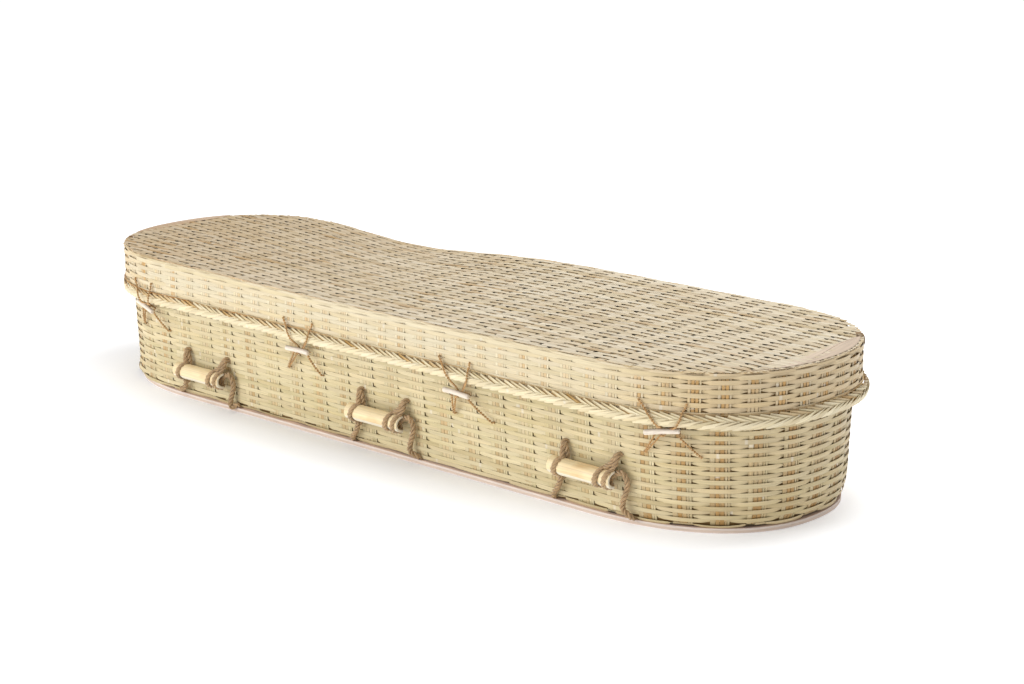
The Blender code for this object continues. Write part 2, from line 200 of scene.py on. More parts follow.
def split_bamboo(name, pale, green, tan, roughness, joints=0.6):
    """Split bamboo, shaved by hand into strips with the skin partly on.

    To the eye: satin, pale straw, with fine fibres along each strip, one strip greener or browner
    than the next, edges darkened with painted shade where strips meet, and a whitish mark where the culm had a
    joint.
    """
    material, tree, shader = new_material(name)
    run = add(tree, "ShaderNodeAttribute", {}, attribute_name="run")
    tone = add(tree, "ShaderNodeAttribute", {}, attribute_name="tone")
    part = add(tree, "ShaderNodeSeparateXYZ", {0: run.outputs["Vector"]})
    along, across, seed = part.outputs
    # Fibres are about 0.3 mm wide, and are drawn 1.5 mm wide so that they show
    fibre_place = add(tree, "ShaderNodeVectorMath", {0: run.outputs["Vector"], 1: (9.0, 2.7, 61.0)},
                      operation="MULTIPLY")
    fibre = add(tree, "ShaderNodeTexNoise", {"Vector": fibre_place.outputs[0], "Scale": 1.0, "Detail": 3.0})
    slow_place = add(tree, "ShaderNodeVectorMath", {0: run.outputs["Vector"], 1: (1.6, 0.15, 37.0)},
                     operation="MULTIPLY")
    slow = add(tree, "ShaderNodeTexNoise", {"Vector": slow_place.outputs[0], "Scale": 1.0, "Detail": 2.0})
    greener = add(tree, "ShaderNodeMapRange", {0: slow.outputs[0], 1: 0.42, 2: 0.68, 3: 0.0, 4: 0.8})
    base = add(tree, "ShaderNodeMix", {0: greener.outputs[0], 6: pale, 7: green}, data_type="RGBA")
    browner = add(tree, "ShaderNodeMath", {0: tone.outputs["Fac"], 1: 1.0}, operation="MULTIPLY")
    stave = add(tree, "ShaderNodeMix", {0: browner.outputs[0], 6: base.outputs[2], 7: tan}, data_type="RGBA")
    # A joint of the culm crosses a strip about every 0.5 m, as a mark some 5 mm long
    shifted = add(tree, "ShaderNodeMath", {0: seed, 1: 7.31, 2: along}, operation="MULTIPLY_ADD")
    place = add(tree, "ShaderNodeMath", {0: shifted.outputs[0], 1: 0.52}, operation="PINGPONG")
    mark = add(tree, "ShaderNodeMapRange", {0: place.outputs[0], 1: 0.0020, 2: 0.0034, 3: joints, 4: 0.0})
    marked = add(tree, "ShaderNodeMix", {0: mark.outputs[0], 6: stave.outputs[2], 7: linear("E8DECB")},
                 data_type="RGBA")
    streak = add(tree, "ShaderNodeMapRange", {0: fibre.outputs[0], 1: 0.3, 2: 0.75, 3: 0.86, 4: 1.10})
    strip_light = add(tree, "ShaderNodeTexWhiteNoise", {"W": seed}, noise_dimensions="1D")
    level = add(tree, "ShaderNodeMapRange", {0: strip_light.outputs[0], 1: 0.0, 2: 1.0, 3: 0.90, 4: 1.07})
    # Painted shade: every strip darkens towards its two edges, in the seams where it meets the next strip
    edge = add(tree, "ShaderNodeMath", {0: across, 1: 6.0}, operation="POWER")
    painted_seam_shade = add(tree, "ShaderNodeMapRange", {0: edge.outputs[0], 1: 0.0, 2: 1.0, 3: 1.0, 4: 0.86})
    # Tones above 1 give the full tan, darkened further with painted shade: the inner layers and the plait's core,
    # seen in the dark behind the weave; the edge cane's tucked ends take the same darkening
    painted_shade_tone = add(tree, "ShaderNodeMapRange", {0: tone.outputs["Fac"], 1: 1.05, 2: 2.0, 3: 1.0, 4: 0.16})
    shade = add(tree, "ShaderNodeMath", {0: streak.outputs[0], 1: level.outputs[0]}, operation="MULTIPLY")
    shade = add(tree, "ShaderNodeMath", {0: shade.outputs[0], 1: painted_seam_shade.outputs[0]}, operation="MULTIPLY")
    shade = add(tree, "ShaderNodeMath", {0: shade.outputs[0], 1: painted_shade_tone.outputs[0]}, operation="MULTIPLY")
    final = add(tree, "ShaderNodeVectorMath", {0: marked.outputs[2], 3: shade.outputs[0]}, operation="SCALE")
    rough = add(tree, "ShaderNodeMapRange", {0: fibre.outputs[0], 3: roughness - 0.08, 4: roughness + 0.10})
    bump = add(tree, "ShaderNodeBump", {"Height": fibre.outputs[0], "Strength": 0.25, "Distance": 0.0004})
    tree.links.new(final.outputs[0], shader.inputs["Base Color"])
    tree.links.new(rough.outputs[0], shader.inputs["Roughness"])
    tree.links.new(bump.outputs[0], shader.inputs["Normal"])
    shader.inputs["IOR"].default_value = 1.5
    return material


def culm_skin():
    """Seasoned bamboo culm, split in two and scraped.

    To the eye: smooth tan-yellow skin with a soft gloss, orange flushes and long fine streaks.
    """
    material, tree, shader = new_material("culm_skin")
    where = add(tree, "ShaderNodeTexCoord", {})
    long = add(tree, "ShaderNodeMapping", {0: where.outputs["Object"], 3: (6.0, 420.0, 420.0)})
    streak = add(tree, "ShaderNodeTexNoise", {"Vector": long.outputs[0], "Scale": 1.0, "Detail": 4.0})
    flush_place = add(tree, "ShaderNodeMapping", {0: where.outputs["Object"], 3: (14.0, 30.0, 30.0)})
    flush = add(tree, "ShaderNodeTexNoise", {"Vector": flush_place.outputs[0], "Scale": 1.0, "Detail": 3.0})
    amount = add(tree, "ShaderNodeMapRange", {0: flush.outputs[0], 1: 0.48, 2: 0.74, 3: 0.0, 4: 0.5})
    base = add(tree, "ShaderNodeMix", {0: amount.outputs[0], 6: tuple(colours().culm), 7: linear("D29A4E")},
               data_type="RGBA")
    light = add(tree, "ShaderNodeMapRange", {0: streak.outputs[0], 1: 0.3, 2: 0.7, 3: 0.86, 4: 1.10})
    final = add(tree, "ShaderNodeVectorMath", {0: base.outputs[2], 3: light.outputs[0]}, operation="SCALE")
    bump = add(tree, "ShaderNodeBump", {"Height": streak.outputs[0], "Strength": 0.2, "Distance": 0.0004})
    rough = add(tree, "ShaderNodeMapRange", {0: streak.outputs[0], 3: 0.30, 4: 0.45})
    tree.links.new(final.outputs[0], shader.inputs["Base Color"])
    tree.links.new(bump.outputs[0], shader.inputs["Normal"])
    tree.links.new(rough.outputs[0], shader.inputs["Roughness"])
    return material


def cut_culm():
    """The cut wall and the inside of a culm, sawn and left raw.

    To the eye: matte, nearly white, with short brown fibre ends.
    """
    material, tree, shader = new_material("cut_culm")
    where = add(tree, "ShaderNodeTexCoord", {})
    dots = add(tree, "ShaderNodeTexNoise", {"Vector": where.outputs["Object"], "Scale": 900.0, "Detail": 2.0})
    long = add(tree, "ShaderNodeMapping", {0: where.outputs["Object"], 3: (12.0, 300.0, 300.0)})
    streak = add(tree, "ShaderNodeTexNoise", {"Vector": long.outputs[0], "Scale": 1.0, "Detail": 3.0})
    both = add(tree, "ShaderNodeMath", {0: dots.outputs[0], 1: streak.outputs[0]}, operation="ADD")
    light = add(tree, "ShaderNodeMapRange", {0: both.outputs[0], 1: 0.7, 2: 1.3, 3: 0.85, 4: 1.08})
    final = add(tree, "ShaderNodeVectorMath", {0: tuple(colours().cut)[:3], 3: light.outputs[0]},
                operation="SCALE")
    tree.links.new(final.outputs[0], shader.inputs["Base Color"])
    shader.inputs["Roughness"].default_value = 0.7
    return material


def twisted_jute(name, colour, scale):
    """Jute, spun and laid into strands.

    To the eye: dull brown, matte and hairy, with paler and darker fibres wound along each strand.
    """
    material, tree, shader = new_material(name)
    run = add(tree, "ShaderNodeAttribute", {}, attribute_name="run")
    wound = add(tree, "ShaderNodeVectorMath", {0: run.outputs["Vector"], 1: (scale, 5.0, 29.0)},
                operation="MULTIPLY")
    fibre = add(tree, "ShaderNodeTexNoise", {"Vector": wound.outputs[0], "Scale": 1.0, "Detail": 5.0,
                                             "Roughness": 0.7})
    where = add(tree, "ShaderNodeTexCoord", {})
    blotch = add(tree, "ShaderNodeTexNoise", {"Vector": where.outputs["Object"], "Scale": 45.0, "Detail": 2.0})
    mixed = add(tree, "ShaderNodeMath", {0: fibre.outputs[0], 1: 0.75, 2: 0.0}, operation="MULTIPLY_ADD")
    mixed = add(tree, "ShaderNodeMath", {0: blotch.outputs[0], 1: 0.35, 2: mixed.outputs[0]},
                operation="MULTIPLY_ADD")
    light = add(tree, "ShaderNodeMapRange", {0: mixed.outputs[0], 1: 0.35, 2: 0.75, 3: 0.55, 4: 1.35})
    final = add(tree, "ShaderNodeVectorMath", {0: colour[:3], 3: light.outputs[0]}, operation="SCALE")
    bump = add(tree, "ShaderNodeBump", {"Height": fibre.outputs[0], "Strength": 0.7, "Distance": 0.0006})
    tree.links.new(final.outputs[0], shader.inputs["Base Color"])
    tree.links.new(bump.outputs[0], shader.inputs["Normal"])
    shader.inputs["Roughness"].default_value = 0.92
    shader.inputs["Sheen Weight"].default_value = 0.25
    shader.inputs["Sheen Roughness"].default_value = 0.5
    return material


def peeled_stick():
    """A peeled green stick, dried: pinkish white, smooth and matte, with faint grain and a few knots."""
    material, tree, shader = new_material("peeled_stick")
    run = add(tree, "ShaderNodeAttribute", {}, attribute_name="run")
    place = add(tree, "ShaderNodeVectorMath", {0: run.outputs["Vector"], 1: (60.0, 2.0, 17.0)},
                operation="MULTIPLY")
    grain = add(tree, "ShaderNodeTexNoise", {"Vector": place.outputs[0], "Scale": 1.0, "Detail": 4.0})
    light = add(tree, "ShaderNodeMapRange", {0: grain.outputs[0], 1: 0.3, 2: 0.7, 3: 0.84, 4: 1.05})
    final = add(tree, "ShaderNodeVectorMath", {0: tuple(colours().stick)[:3], 3: light.outputs[0]},
                operation="SCALE")
    bump = add(tree, "ShaderNodeBump", {"Height": grain.outputs[0], "Strength": 0.3, "Distance": 0.0004})
    tree.links.new(final.outputs[0], shader.inputs["Base Color"])
    tree.links.new(bump.outputs[0], shader.inputs["Normal"])
    shader.inputs["Roughness"].default_value = 0.6
    return material


def layered_plywood():
    """Hardwood plywood, rotary cut and pressed, with a sawn edge.

    To the eye: a pinkish-cream edge with thin glue lines and darker plies between, and reddish faces.
    """
    material, tree, shader = new_material("layered_plywood")
    where = add(tree, "ShaderNodeTexCoord", {})
    place = add(tree, "ShaderNodeSeparateXYZ", {0: where.outputs["Object"]})
    # Five plies of 2 mm, every second one end grain and so darker
    ply = add(tree, "ShaderNodeMath", {0: place.outputs[2], 1: 250.0}, operation="MULTIPLY")
    wave = add(tree, "ShaderNodeMath", {0: ply.outputs[0], 1: 1.0}, operation="PINGPONG")
    dark = add(tree, "ShaderNodeMapRange", {0: wave.outputs[0], 1: 0.42, 2: 0.58, 3: 0.0, 4: 1.0})
    long = add(tree, "ShaderNodeMapping", {0: where.outputs["Object"], 3: (22.0, 22.0, 700.0)})
    grain = add(tree, "ShaderNodeTexNoise", {"Vector": long.outputs[0], "Scale": 1.0, "Detail": 4.0})
    edge = add(tree, "ShaderNodeMix", {0: dark.outputs[0], 6: tuple(colours().ply), 7: linear("DFC9B8")},
               data_type="RGBA")
    face_place = add(tree, "ShaderNodeMapping", {0: where.outputs["Object"], 3: (4.0, 160.0, 1.0)})
    face_grain = add(tree, "ShaderNodeTexNoise", {"Vector": face_place.outputs[0], "Scale": 1.0, "Detail": 5.0})
    face = add(tree, "ShaderNodeMix", {0: face_grain.outputs[0], 6: tuple(colours().veneer),
                                       7: linear("E0C6B6")}, data_type="RGBA")
    shape = add(tree, "ShaderNodeNewGeometry", {})
    turned = add(tree, "ShaderNodeSeparateXYZ", {0: shape.outputs["Normal"]})
    flat = add(tree, "ShaderNodeMath", {0: turned.outputs[2]}, operation="ABSOLUTE")
    is_face = add(tree, "ShaderNodeMapRange", {0: flat.outputs[0], 1: 0.7, 2: 0.9, 3: 0.0, 4: 1.0})
    both = add(tree, "ShaderNodeMix", {0: is_face.outputs[0], 6: edge.outputs[2], 7: face.outputs[2]},
               data_type="RGBA")
    light = add(tree, "ShaderNodeMapRange", {0: grain.outputs[0], 1: 0.3, 2: 0.7, 3: 0.84, 4: 1.08})
    final = add(tree, "ShaderNodeVectorMath", {0: both.outputs[2], 3: light.outputs[0]}, operation="SCALE")
    bump = add(tree, "ShaderNodeBump", {"Height": grain.outputs[0], "Strength": 0.4, "Distance": 0.0004})
    tree.links.new(final.outputs[0], shader.inputs["Base Color"])
    tree.links.new(bump.outputs[0], shader.inputs["Normal"])
    shader.inputs["Roughness"].default_value = 0.7
    return material


# Outlines and walls

def oval_at(plan, station):
    """The oval at stations 0 to 4: near side, head end, far side and foot end, each one long."""
    length, width, depth = plan
    station = np.mod(np.asarray(station, float), 4.0)
    power = 2 / ROUNDNESS
    leg = np.floor(station).astype(int)
    share = station - leg
    angle = (share - 0.5) * np.pi
    bulge = depth * np.maximum(np.cos(angle), 0.0) ** power
    rise = np.sign(angle) * np.abs(np.sin(angle)) ** power * width
    straight = (2 * share - 1) * (length - depth)
    x = np.choose(leg, [straight, length - depth + bulge, -straight, depth - length - bulge])
    y = np.choose(leg, [-width + 0 * share, rise, width + 0 * share, -rise])
    return x, y


def outward_at(plan, station):
    """The level direction straight out of the oval at a station."""
    step = 0.002
    ahead = oval_at(plan, np.asarray(station) + step)
    behind = oval_at(plan, np.asarray(station) - step)
    along = np.stack([ahead[0] - behind[0], ahead[1] - behind[1]], -1)
    along /= np.linalg.norm(along, axis=-1, keepdims=True)
    return along[..., 1], -along[..., 0]


def station_table(plan):
    """Distances run round the oval, and the stations there."""
    station = np.linspace(0.0, 4.0, 16001)
    x, y = oval_at(plan, station)
    run = np.concatenate([[0.0], np.cumsum(np.hypot(np.diff(x), np.diff(y)))])
    return run, station


def settle(points, tuck):
    """Lowers the lid where its middle has sunk, and tucks in its lower edge at the foot end."""
    x, y, z = points[..., 0], points[..., 1], points[..., 2]
    share = np.clip((z - LID_BOTTOM) / (LID_TOP - LID_BOTTOM), 0.0, 1.0)
    across = np.clip((y / LID_HIGH.y + 1) / 2, 0.0, 1.0)
    depth = sizes().near_sag + (sizes().far_sag - sizes().near_sag) * across
    dip = np.exp(-((x + 0.43 * across) / (0.48 - 0.19 * across)) ** 2)
    points[..., 2] = z - depth * dip * share
    end = np.clip((-x - 0.74) / 0.20, 0.0, 1.0) ** 2
    below = np.clip((z - 0.10) / (LID_BOTTOM - 0.10), 0.0, 1.0)
    points[..., 0] = x + end * (FOOT_END_TUCK * below + tuck * (1 - share))
    return points


def lid_wall(station, climb, out):
    """A point of the lid's side. Climb runs up the wall and in over the rounded edge."""
    station, climb, out = np.broadcast_arrays(station, climb, out)
    turn = np.clip((climb - LID_SIDE) / LID_CORNER, 0.0, np.pi / 2)
    past = np.maximum(climb - LID_SIDE - LID_CORNER * np.pi / 2, 0.0)
    x, y = oval_at(LID_PLAN, station)
    nx, ny = outward_at(LID_PLAN, station)
    level = (out + LID_CORNER) * np.cos(turn) - LID_CORNER - past
    z = LID_BOTTOM + np.minimum(climb, LID_SIDE) + (out + LID_CORNER) * np.sin(turn)
    return settle(np.stack([x + nx * level, y + ny * level, z], -1), LID_TUCK)


def body_plan(z):
    share = np.clip((z - BODY_WALL_FOOT) / (LID_BOTTOM - BODY_WALL_FOOT), 0.0, 1.0)
    return [foot + (top - foot) * share for foot, top in zip(BODY_FOOT_PLAN, BODY_TOP_PLAN)]


def body_wall(station, climb, out):
    """A point of the basket's side. Climb starts where the floor turns up and runs up the wall."""
    station, climb, out = np.broadcast_arrays(station, climb, out)
    turned = BODY_CORNER * np.pi / 2
    turn = np.clip(climb / BODY_CORNER - np.pi / 2, -np.pi / 2, 0.0)
    straight = np.maximum(climb - turned, 0.0)
    plan = body_plan(BODY_WALL_FOOT + straight)
    x, y = oval_at(plan, station)
    nx, ny = outward_at(plan, station)
    level = (out + BODY_CORNER) * np.cos(turn) - BODY_CORNER
    low = np.clip(1 - straight / 0.040, 0.0, 1.0) ** 2
    level = level - np.where(x > 0, 0.008, -0.005) * end_share(station) * low
    z = BODY_WALL_FOOT + straight + (out + BODY_CORNER) * np.sin(turn)
    return settle(np.stack([x + nx * level, y + ny * level, z], -1), 0.0)


def lid_top(x, y, out):
    x, y, out = np.broadcast_arrays(x, y, out)
    return settle(np.stack([x, y, LID_TOP + out], -1), LID_TUCK)


def edge_x(y, inset):
    """How far along X the lid's outline lies at a place across it."""
    length, width, depth = (size - inset for size in LID_PLAN)
    share = np.clip(np.abs(y) / width, 0.0, 1.0)
    return length - depth + depth * (1 - share ** ROUNDNESS) ** (1 / ROUNDNESS)


def edge_y(x, inset):
    length, width, depth = (size - inset for size in LID_PLAN)
    share = np.clip((np.abs(x) - length + depth) / depth, 0.0, 1.0)
    return width * (1 - share ** ROUNDNESS) ** (1 / ROUNDNESS)


# Bars: every strip, stave, strand and cane is one closed bar bent along a route

FLAT = ((-1.0, -0.8), (1.0, -0.8), (1.0, 0.45), (0.0, 1.0), (-1.0, 0.45))
BARS = {}


def bar_template(rings, corners):
    """One straight bar with so many rings, and the ring and corner of each of its vertices."""
    if (rings, corners) in BARS:
        return BARS[rings, corners]
    bm = bmesh.new()
    bmesh.ops.create_cone(bm, cap_ends=True, cap_tris=False, segments=corners,
                          radius1=1.0, radius2=1.0, depth=1.0)
    sides = [edge for edge in bm.edges if abs(edge.verts[0].co.z - edge.verts[1].co.z) > 0.5]
    if rings > 2:
        bmesh.ops.subdivide_edges(bm, edges=sides, cuts=rings - 2, use_grid_fill=False)
    mesh = bpy.data.meshes.new("bar")
    bm.to_mesh(mesh)
    bm.free()
    spots = np.empty(len(mesh.vertices) * 3)
    mesh.vertices.foreach_get("co", spots)
    spots = spots.reshape(-1, 3)
    ring = np.rint((spots[:, 2] + 0.5) * (rings - 1)).astype(int)
    corner = np.rint(np.arctan2(spots[:, 1], spots[:, 0]) / (2 * np.pi) * corners).astype(int) % corners
    BARS[rings, corners] = mesh, ring, corner
    return BARS[rings, corners]


def bar(route, side, out, along=None, seed=0.0, tone=0.0, section=FLAT):
    """A bar to be made: its route, and its half-width and half-thickness as vectors at each point."""
    if along is None:
        steps = np.linalg.norm(np.diff(route, axis=0), axis=1)
        along = np.concatenate([[0.0], np.cumsum(steps)])
    return {"route": route, "side": side, "out": out, "along": along, "seed": seed,
            "tone": np.broadcast_to(tone, len(route)), "section": np.array(section)}


def round_section(corners):
    turns = np.arange(corners) * 2 * np.pi / corners
    return np.stack([np.cos(turns), np.sin(turns)], -1)


def make_bars(name, bars, material):
    """Copies a straight bar for each route, bends it there, and notes the run and tone of each point."""
    bm = bmesh.new()
    places, runs, tones = [], [], []
    for item in bars:
        mesh, ring, corner = bar_template(len(item["route"]), len(item["section"]))
        bm.from_mesh(mesh)
        section = item["section"][corner]
        places.append(item["route"][ring] + section[:, :1] * item["side"][ring]
                      + section[:, 1:] * item["out"][ring])
        runs.append(np.stack([item["along"][ring], section[:, 0], np.full(len(ring), item["seed"])], -1))
        tones.append(item["tone"][ring])
    mesh = bpy.data.meshes.new(name)
    bm.to_mesh(mesh)
    bm.free()
    places = np.concatenate(places)
    mesh.vertices.foreach_set("co", places.ravel())
    mesh.attributes.new("run", "FLOAT_VECTOR", "POINT").data.foreach_set("vector", np.concatenate(runs).ravel())
    mesh.attributes.new("tone", "FLOAT", "POINT").data.foreach_set("value", np.concatenate(tones).ravel())
    bm = bmesh.new()
    bm.from_mesh(mesh)
    bmesh.ops.recalc_face_normals(bm, faces=bm.faces)
    bm.to_mesh(mesh)
    bm.free()
    mesh.shade_smooth()
    mesh.set_sharp_from_angle(angle=math.radians(50))
    return put(name, mesh, material)


def put(name, mesh, *materials):
    piece = bpy.data.objects.new(name, mesh)
    for material in materials:
        mesh.materials.append(material)
    bpy.context.scene.collection.objects.link(piece)
    return piece


def dress(piece, finish, *nodes):
    """Rides the piece on the body, in place of the CAD nodes that it stands for."""
    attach(piece, "root")
    if nodes:
        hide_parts(*nodes)
    return piece


def directions(place, station, climb, out):
    """The unit directions up a wall and straight out of it."""
    step = 0.0004
    up = place(station, climb + step, out) - place(station, climb - step, out)
    face = place(station, climb, out + step) - place(station, climb, out - step)
    return (up / np.linalg.norm(up, axis=-1, keepdims=True),
            face / np.linalg.norm(face, axis=-1, keepdims=True))


def end_share(station):
    """0 on the straight sides and 1 round the middle of the rounded ends."""
    station = np.mod(station, 4.0)
    leg = np.floor(station).astype(int)
    inside = np.where(leg % 2 == 1, np.sin((station - leg) * np.pi), 0.0)
    return np.clip(inside * 1.6, 0.0, 1.0)


def weave_rows(name, place, plan, climbs, bundle, half, material, rng, slit, droop=0.0, narrow=1.0, blush=0.15):
    """Rows of strips round the oval, over and under bundles of upright staves.

    A strip narrows where it dives behind a bundle, which leaves the small dark slits of the weave.
    """
    run, table = station_table(plan)
    count = 2 * round(run[-1] / bundle / 2)
    pitch = run[-1] / count
    thick = sizes().strip_thickness / 2
    knots = np.array([-half - 0.010, -half - 0.001, 0.0, half + 0.0017, half + 0.0027, half + 0.0130, pitch / 2])
    parts = len(knots)
    centres = (np.arange(count) + 0.5) * pitch
    along = np.append((centres[:, None] + knots).ravel(), centres[0] + knots[0] + run[-1])
    station = np.interp(np.mod(along, run[-1]), run, table)
    ends = end_share(station)

    def spread(straight, rounded, vary):
        """One value for each knot, blended from the straight sides to the rounded ends."""
        mixed = np.tile(straight, count), np.tile(rounded, count)
        mixed = [np.append(values, values[0]) for values in mixed]
        return (mixed[0] * (1 - ends) + mixed[1] * ends) * np.append(np.repeat(vary, parts), vary[0])

    above = np.tile(np.arange(count), (2, 1)) % 2 == np.array([[0], [1]])
    open_bundle = np.clip(rng.normal(0.85, 0.30, count), 0.25, 1.3)
    slit = slit * (1 - ends) + ends
    bars = []
    for row, climb in enumerate(climbs):
        over = np.append(np.repeat(above[row % 2], parts), above[row % 2][0])
        vary = open_bundle * rng.uniform(0.55, 1.25, count) * np.where(rng.uniform(0, 1, count) < 0.18, 0.2, 1.0)
        deep = rng.uniform(0.8, 1.2, count)
        rise = spread([0.1, 0.4, 0.7, 0.5, 0.4, 0.1, 0.0], [0.9, 1.6, 2.2, 1.7, 1.4, 0.8, 0.6], deep)
        sink = spread([0.1, 0.8, 1.5, 1.5, 1.1, 0.1, 0.0], [0.6, 2.0, 2.3, 2.1, 1.4, 0.2, -0.6], deep)
        out = -0.0018 + 0.001 * np.where(over, rise, -sink)
        thin = spread([0.0, 0.10, 0.3, 0.85, 0.20, 0.0, 0.0], [0.22, 0.70, 0.6, 0.80, 0.62, 0.12, 0.02], vary)
        thin = np.where(over, 0.0, np.clip(thin * slit, -0.1, 0.92))
        lift = spread([0.0] * 3 + [0.5, 0.5, 0.3, 0.0], [0.0] * 7, np.ones(count)) * thin
        width = (sizes().strip_width if climb < narrow else 0.0050) / 2 * rng.uniform(0.97, 1.04)
        wave = (0.0012 if row == 0 else 0.0004) * np.sin(along * rng.uniform(5, 9) + rng.uniform(0, 6.28))
        level = climb + wave + np.append(np.repeat(rng.uniform(-0.0003, 0.0003, count), parts), 0.0)
        level = level + lift * width * 2
        up, face = directions(place, station, level, out)
        route = place(station, level, out)
        if row == 0:
            route[:, 2] -= droop * (1 + 0.5 * np.sin(along * 6.0))
        bars.append(bar(route, up * (width * (1 - thin))[:, None], face * thick,
                        along=along, seed=rng.uniform(0, 1), tone=rng.uniform(0.0, 0.14) + blush * ends))
    return make_bars(name, bars, material)


def weave_staves(name, place, plan, climbs, bundle, staves, material, rng, cover):
    """Bundles of upright staves, and the shaded inner layer behind them."""
    run, table = station_table(plan)
    count = 2 * round(run[-1] / bundle / 2)
    pitch = run[-1] / count
    half = sum(width for width, _ in staves) / 2
    top, low = climbs[-1] + sizes().row_pitch / 2, climbs[0] - sizes().row_pitch / 2
    rise = np.linspace(low, top, max(4, round((top - low) / 0.022)))
    bars = []
    for centre in (np.arange(count) + 0.5) * pitch:
        end = float(end_share(np.interp(centre, run, table)))
        strength = rng.uniform(0.40, 1.0) * (1 + 0.7 * end)
        at = centre - half
        for width, tone in staves:
            station = np.interp(np.mod(at + width / 2, run[-1]), run, table)
            beside = np.interp(np.mod(at + width / 2 + 0.002, run[-1]), run, table)
            at += width
            deep = -0.0024 + rng.uniform(-0.0002, 0.0002)
            route = place(station, rise, deep)
            side = place(beside, rise, deep) - route
            side /= np.linalg.norm(side, axis=1, keepdims=True)
            _, face = directions(place, np.full(len(rise), station), rise, np.full(len(rise), deep))
            fade = 0.65 + 0.35 * np.sin(rise * 40 + rng.uniform(0, 6.28))
            bars.append(bar(route, side * (width / 2 - 0.0003 - 0.0005 * end), face * 0.0005,
                            along=rise + rng.uniform(0, 3), seed=rng.uniform(0, 1),
                            tone=np.minimum((tone + 0.35 * end) * strength * fade, 1.0)))
    # The inner layer behind the staves is toned 1.7, a dark sheet of painted shade: the dark inside of the basket
    # seen through the slits
    along = np.linspace(0.0, run[-1], 241)
    station = np.interp(np.mod(along, run[-1]), run, table)
    layers = round((cover - low) / 0.022)
    tall = (cover - low) / layers
    for layer in range(layers):
        level = low + tall * (layer + 0.5)
        deep = -WALL + 0.0006
        up, face = directions(place, station, level, deep)
        bars.append(bar(place(station, level, deep), up * tall * 0.51, face * 0.0005, along=along,
                        seed=rng.uniform(0, 1), tone=1.7))
    return make_bars(name, bars, material)


BODY_STAVES = ((0.0110, 0.12), (0.0090, 0.85), (0.0095, 0.80), (0.0052, 0.05), (0.0056, 0.0))
LID_STAVES = ((0.0070, 0.10), (0.0075, 0.80), (0.0075, 0.85), (0.0050, 0.10))


def woven_lid_top(material, rng):
    """Lengthwise strips over and under cross staves, out to the rounded edge."""
    bars = []
    thick = sizes().strip_thickness / 2
    pitch, half = 0.0590, 0.0105
    spacing = sizes().top_pitch
    reach = LID_PLAN[1] - LID_CORNER * 0.6
    count = int(2 * reach / spacing)
    numbers = np.arange(-17, 18)
    knots = np.array([-half - 0.0095, -half - 0.0045, -half + 0.002, half - 0.002, half + 0.0045, half + 0.0095])
    for row in range(count):
        y = (row - (count - 1) / 2) * spacing
        limit = edge_x(y, LID_CORNER * 0.5)
        jog = rng.uniform(-0.0035, 0.0035, len(numbers))
        x = (numbers[:, None] * pitch + jog[:, None] + knots).ravel()
        part = np.tile(np.arange(6), len(numbers))
        number = np.repeat(numbers, 6)
        keep = np.abs(x) < limit - 0.004
        x, part, number = (np.concatenate([[first], values[keep], [last]]) for values, first, last in
                           ((x, -limit, limit), (part, 0, 5), (number, -17, 17)))
        over = (number + row) % 2 == 0
        loose = np.where(rng.uniform(0, 1, (2, 40)) < 0.42, rng.uniform(0.0, 0.45, (2, 40)),
                         rng.uniform(0.85, 1.1, (2, 40)))
        loose = loose[(part > 2).astype(int), number + 17]
        out = np.where(over, np.array([0.1, 0.5, 0.8, 0.8, 0.5, 0.1])[part],
                       -np.array([0.0, 0.7, 1.7, 1.7, 0.7, 0.0])[part])
        thin = np.where(over, 0.0, np.clip(np.array([0.0, 0.95, 0.80, 0.80, 0.95, 0.0])[part] * loose, 0.0, 0.96))
        wander = 0.0009 * np.sin(x * rng.uniform(3, 7) + rng.uniform(0, 6.28))
        wander = wander + 0.0005 * np.sin(x * rng.uniform(15, 25) + rng.uniform(0, 6.28))
        route = lid_top(x, y + wander, 0.0002 + 0.001 * out)
        side, face = np.zeros_like(route), np.zeros_like(route)
        side[:, 1] = spacing / 2 * (1 - thin) * rng.uniform(0.97, 1.06)
        face[:, 2] = thick
        tan = rng.uniform(0.0, 0.18) + 0.42 * np.clip(0.20 - x, 0.0, 1.0)
        patch = np.clip(np.sin(x * rng.uniform(6, 14) + rng.uniform(0, 6.28)), 0.0, 1.0) ** 4
        bars.append(bar(route, side, face, along=x, seed=rng.uniform(0, 1),
                        tone=np.minimum(tan + rng.uniform(0.0, 0.7) * patch, 1.0)))
    for middle in numbers * pitch:
        at = middle - half
        for width in (0.0072, 0.0069, 0.0069):
            x = at + width / 2
            at += width
            if abs(x) > LID_PLAN[0] - LID_CORNER - width:
                continue
            limit = edge_y(abs(x) + width / 2, LID_CORNER)
            route = lid_top(x, np.linspace(-limit, limit, 17), -0.0008)
            side, face = np.zeros_like(route), np.zeros_like(route)
            side[:, 0], face[:, 2] = -(width / 2 - 0.0002), thick
            bars.append(bar(route, side, face, seed=rng.uniform(0, 1), tone=rng.uniform(0.1, 0.45)))
    # A dark inner layer under the top, toned 2.0: painted shade seen through the holes of the weave
    for row in range(30):
        y = (row - 14.5) * 0.0196
        limit = edge_x(abs(y) + 0.0098, WALL)
        route = lid_top(np.linspace(-limit, limit, 33), y, -0.0042)
        side, face = np.zeros_like(route), np.zeros_like(route)
        side[:, 1], face[:, 2] = 0.0100, 0.0005
        bars.append(bar(route, side, face, seed=rng.uniform(0, 1), tone=2.0))
    return make_bars("lid_top_weave", bars, material)


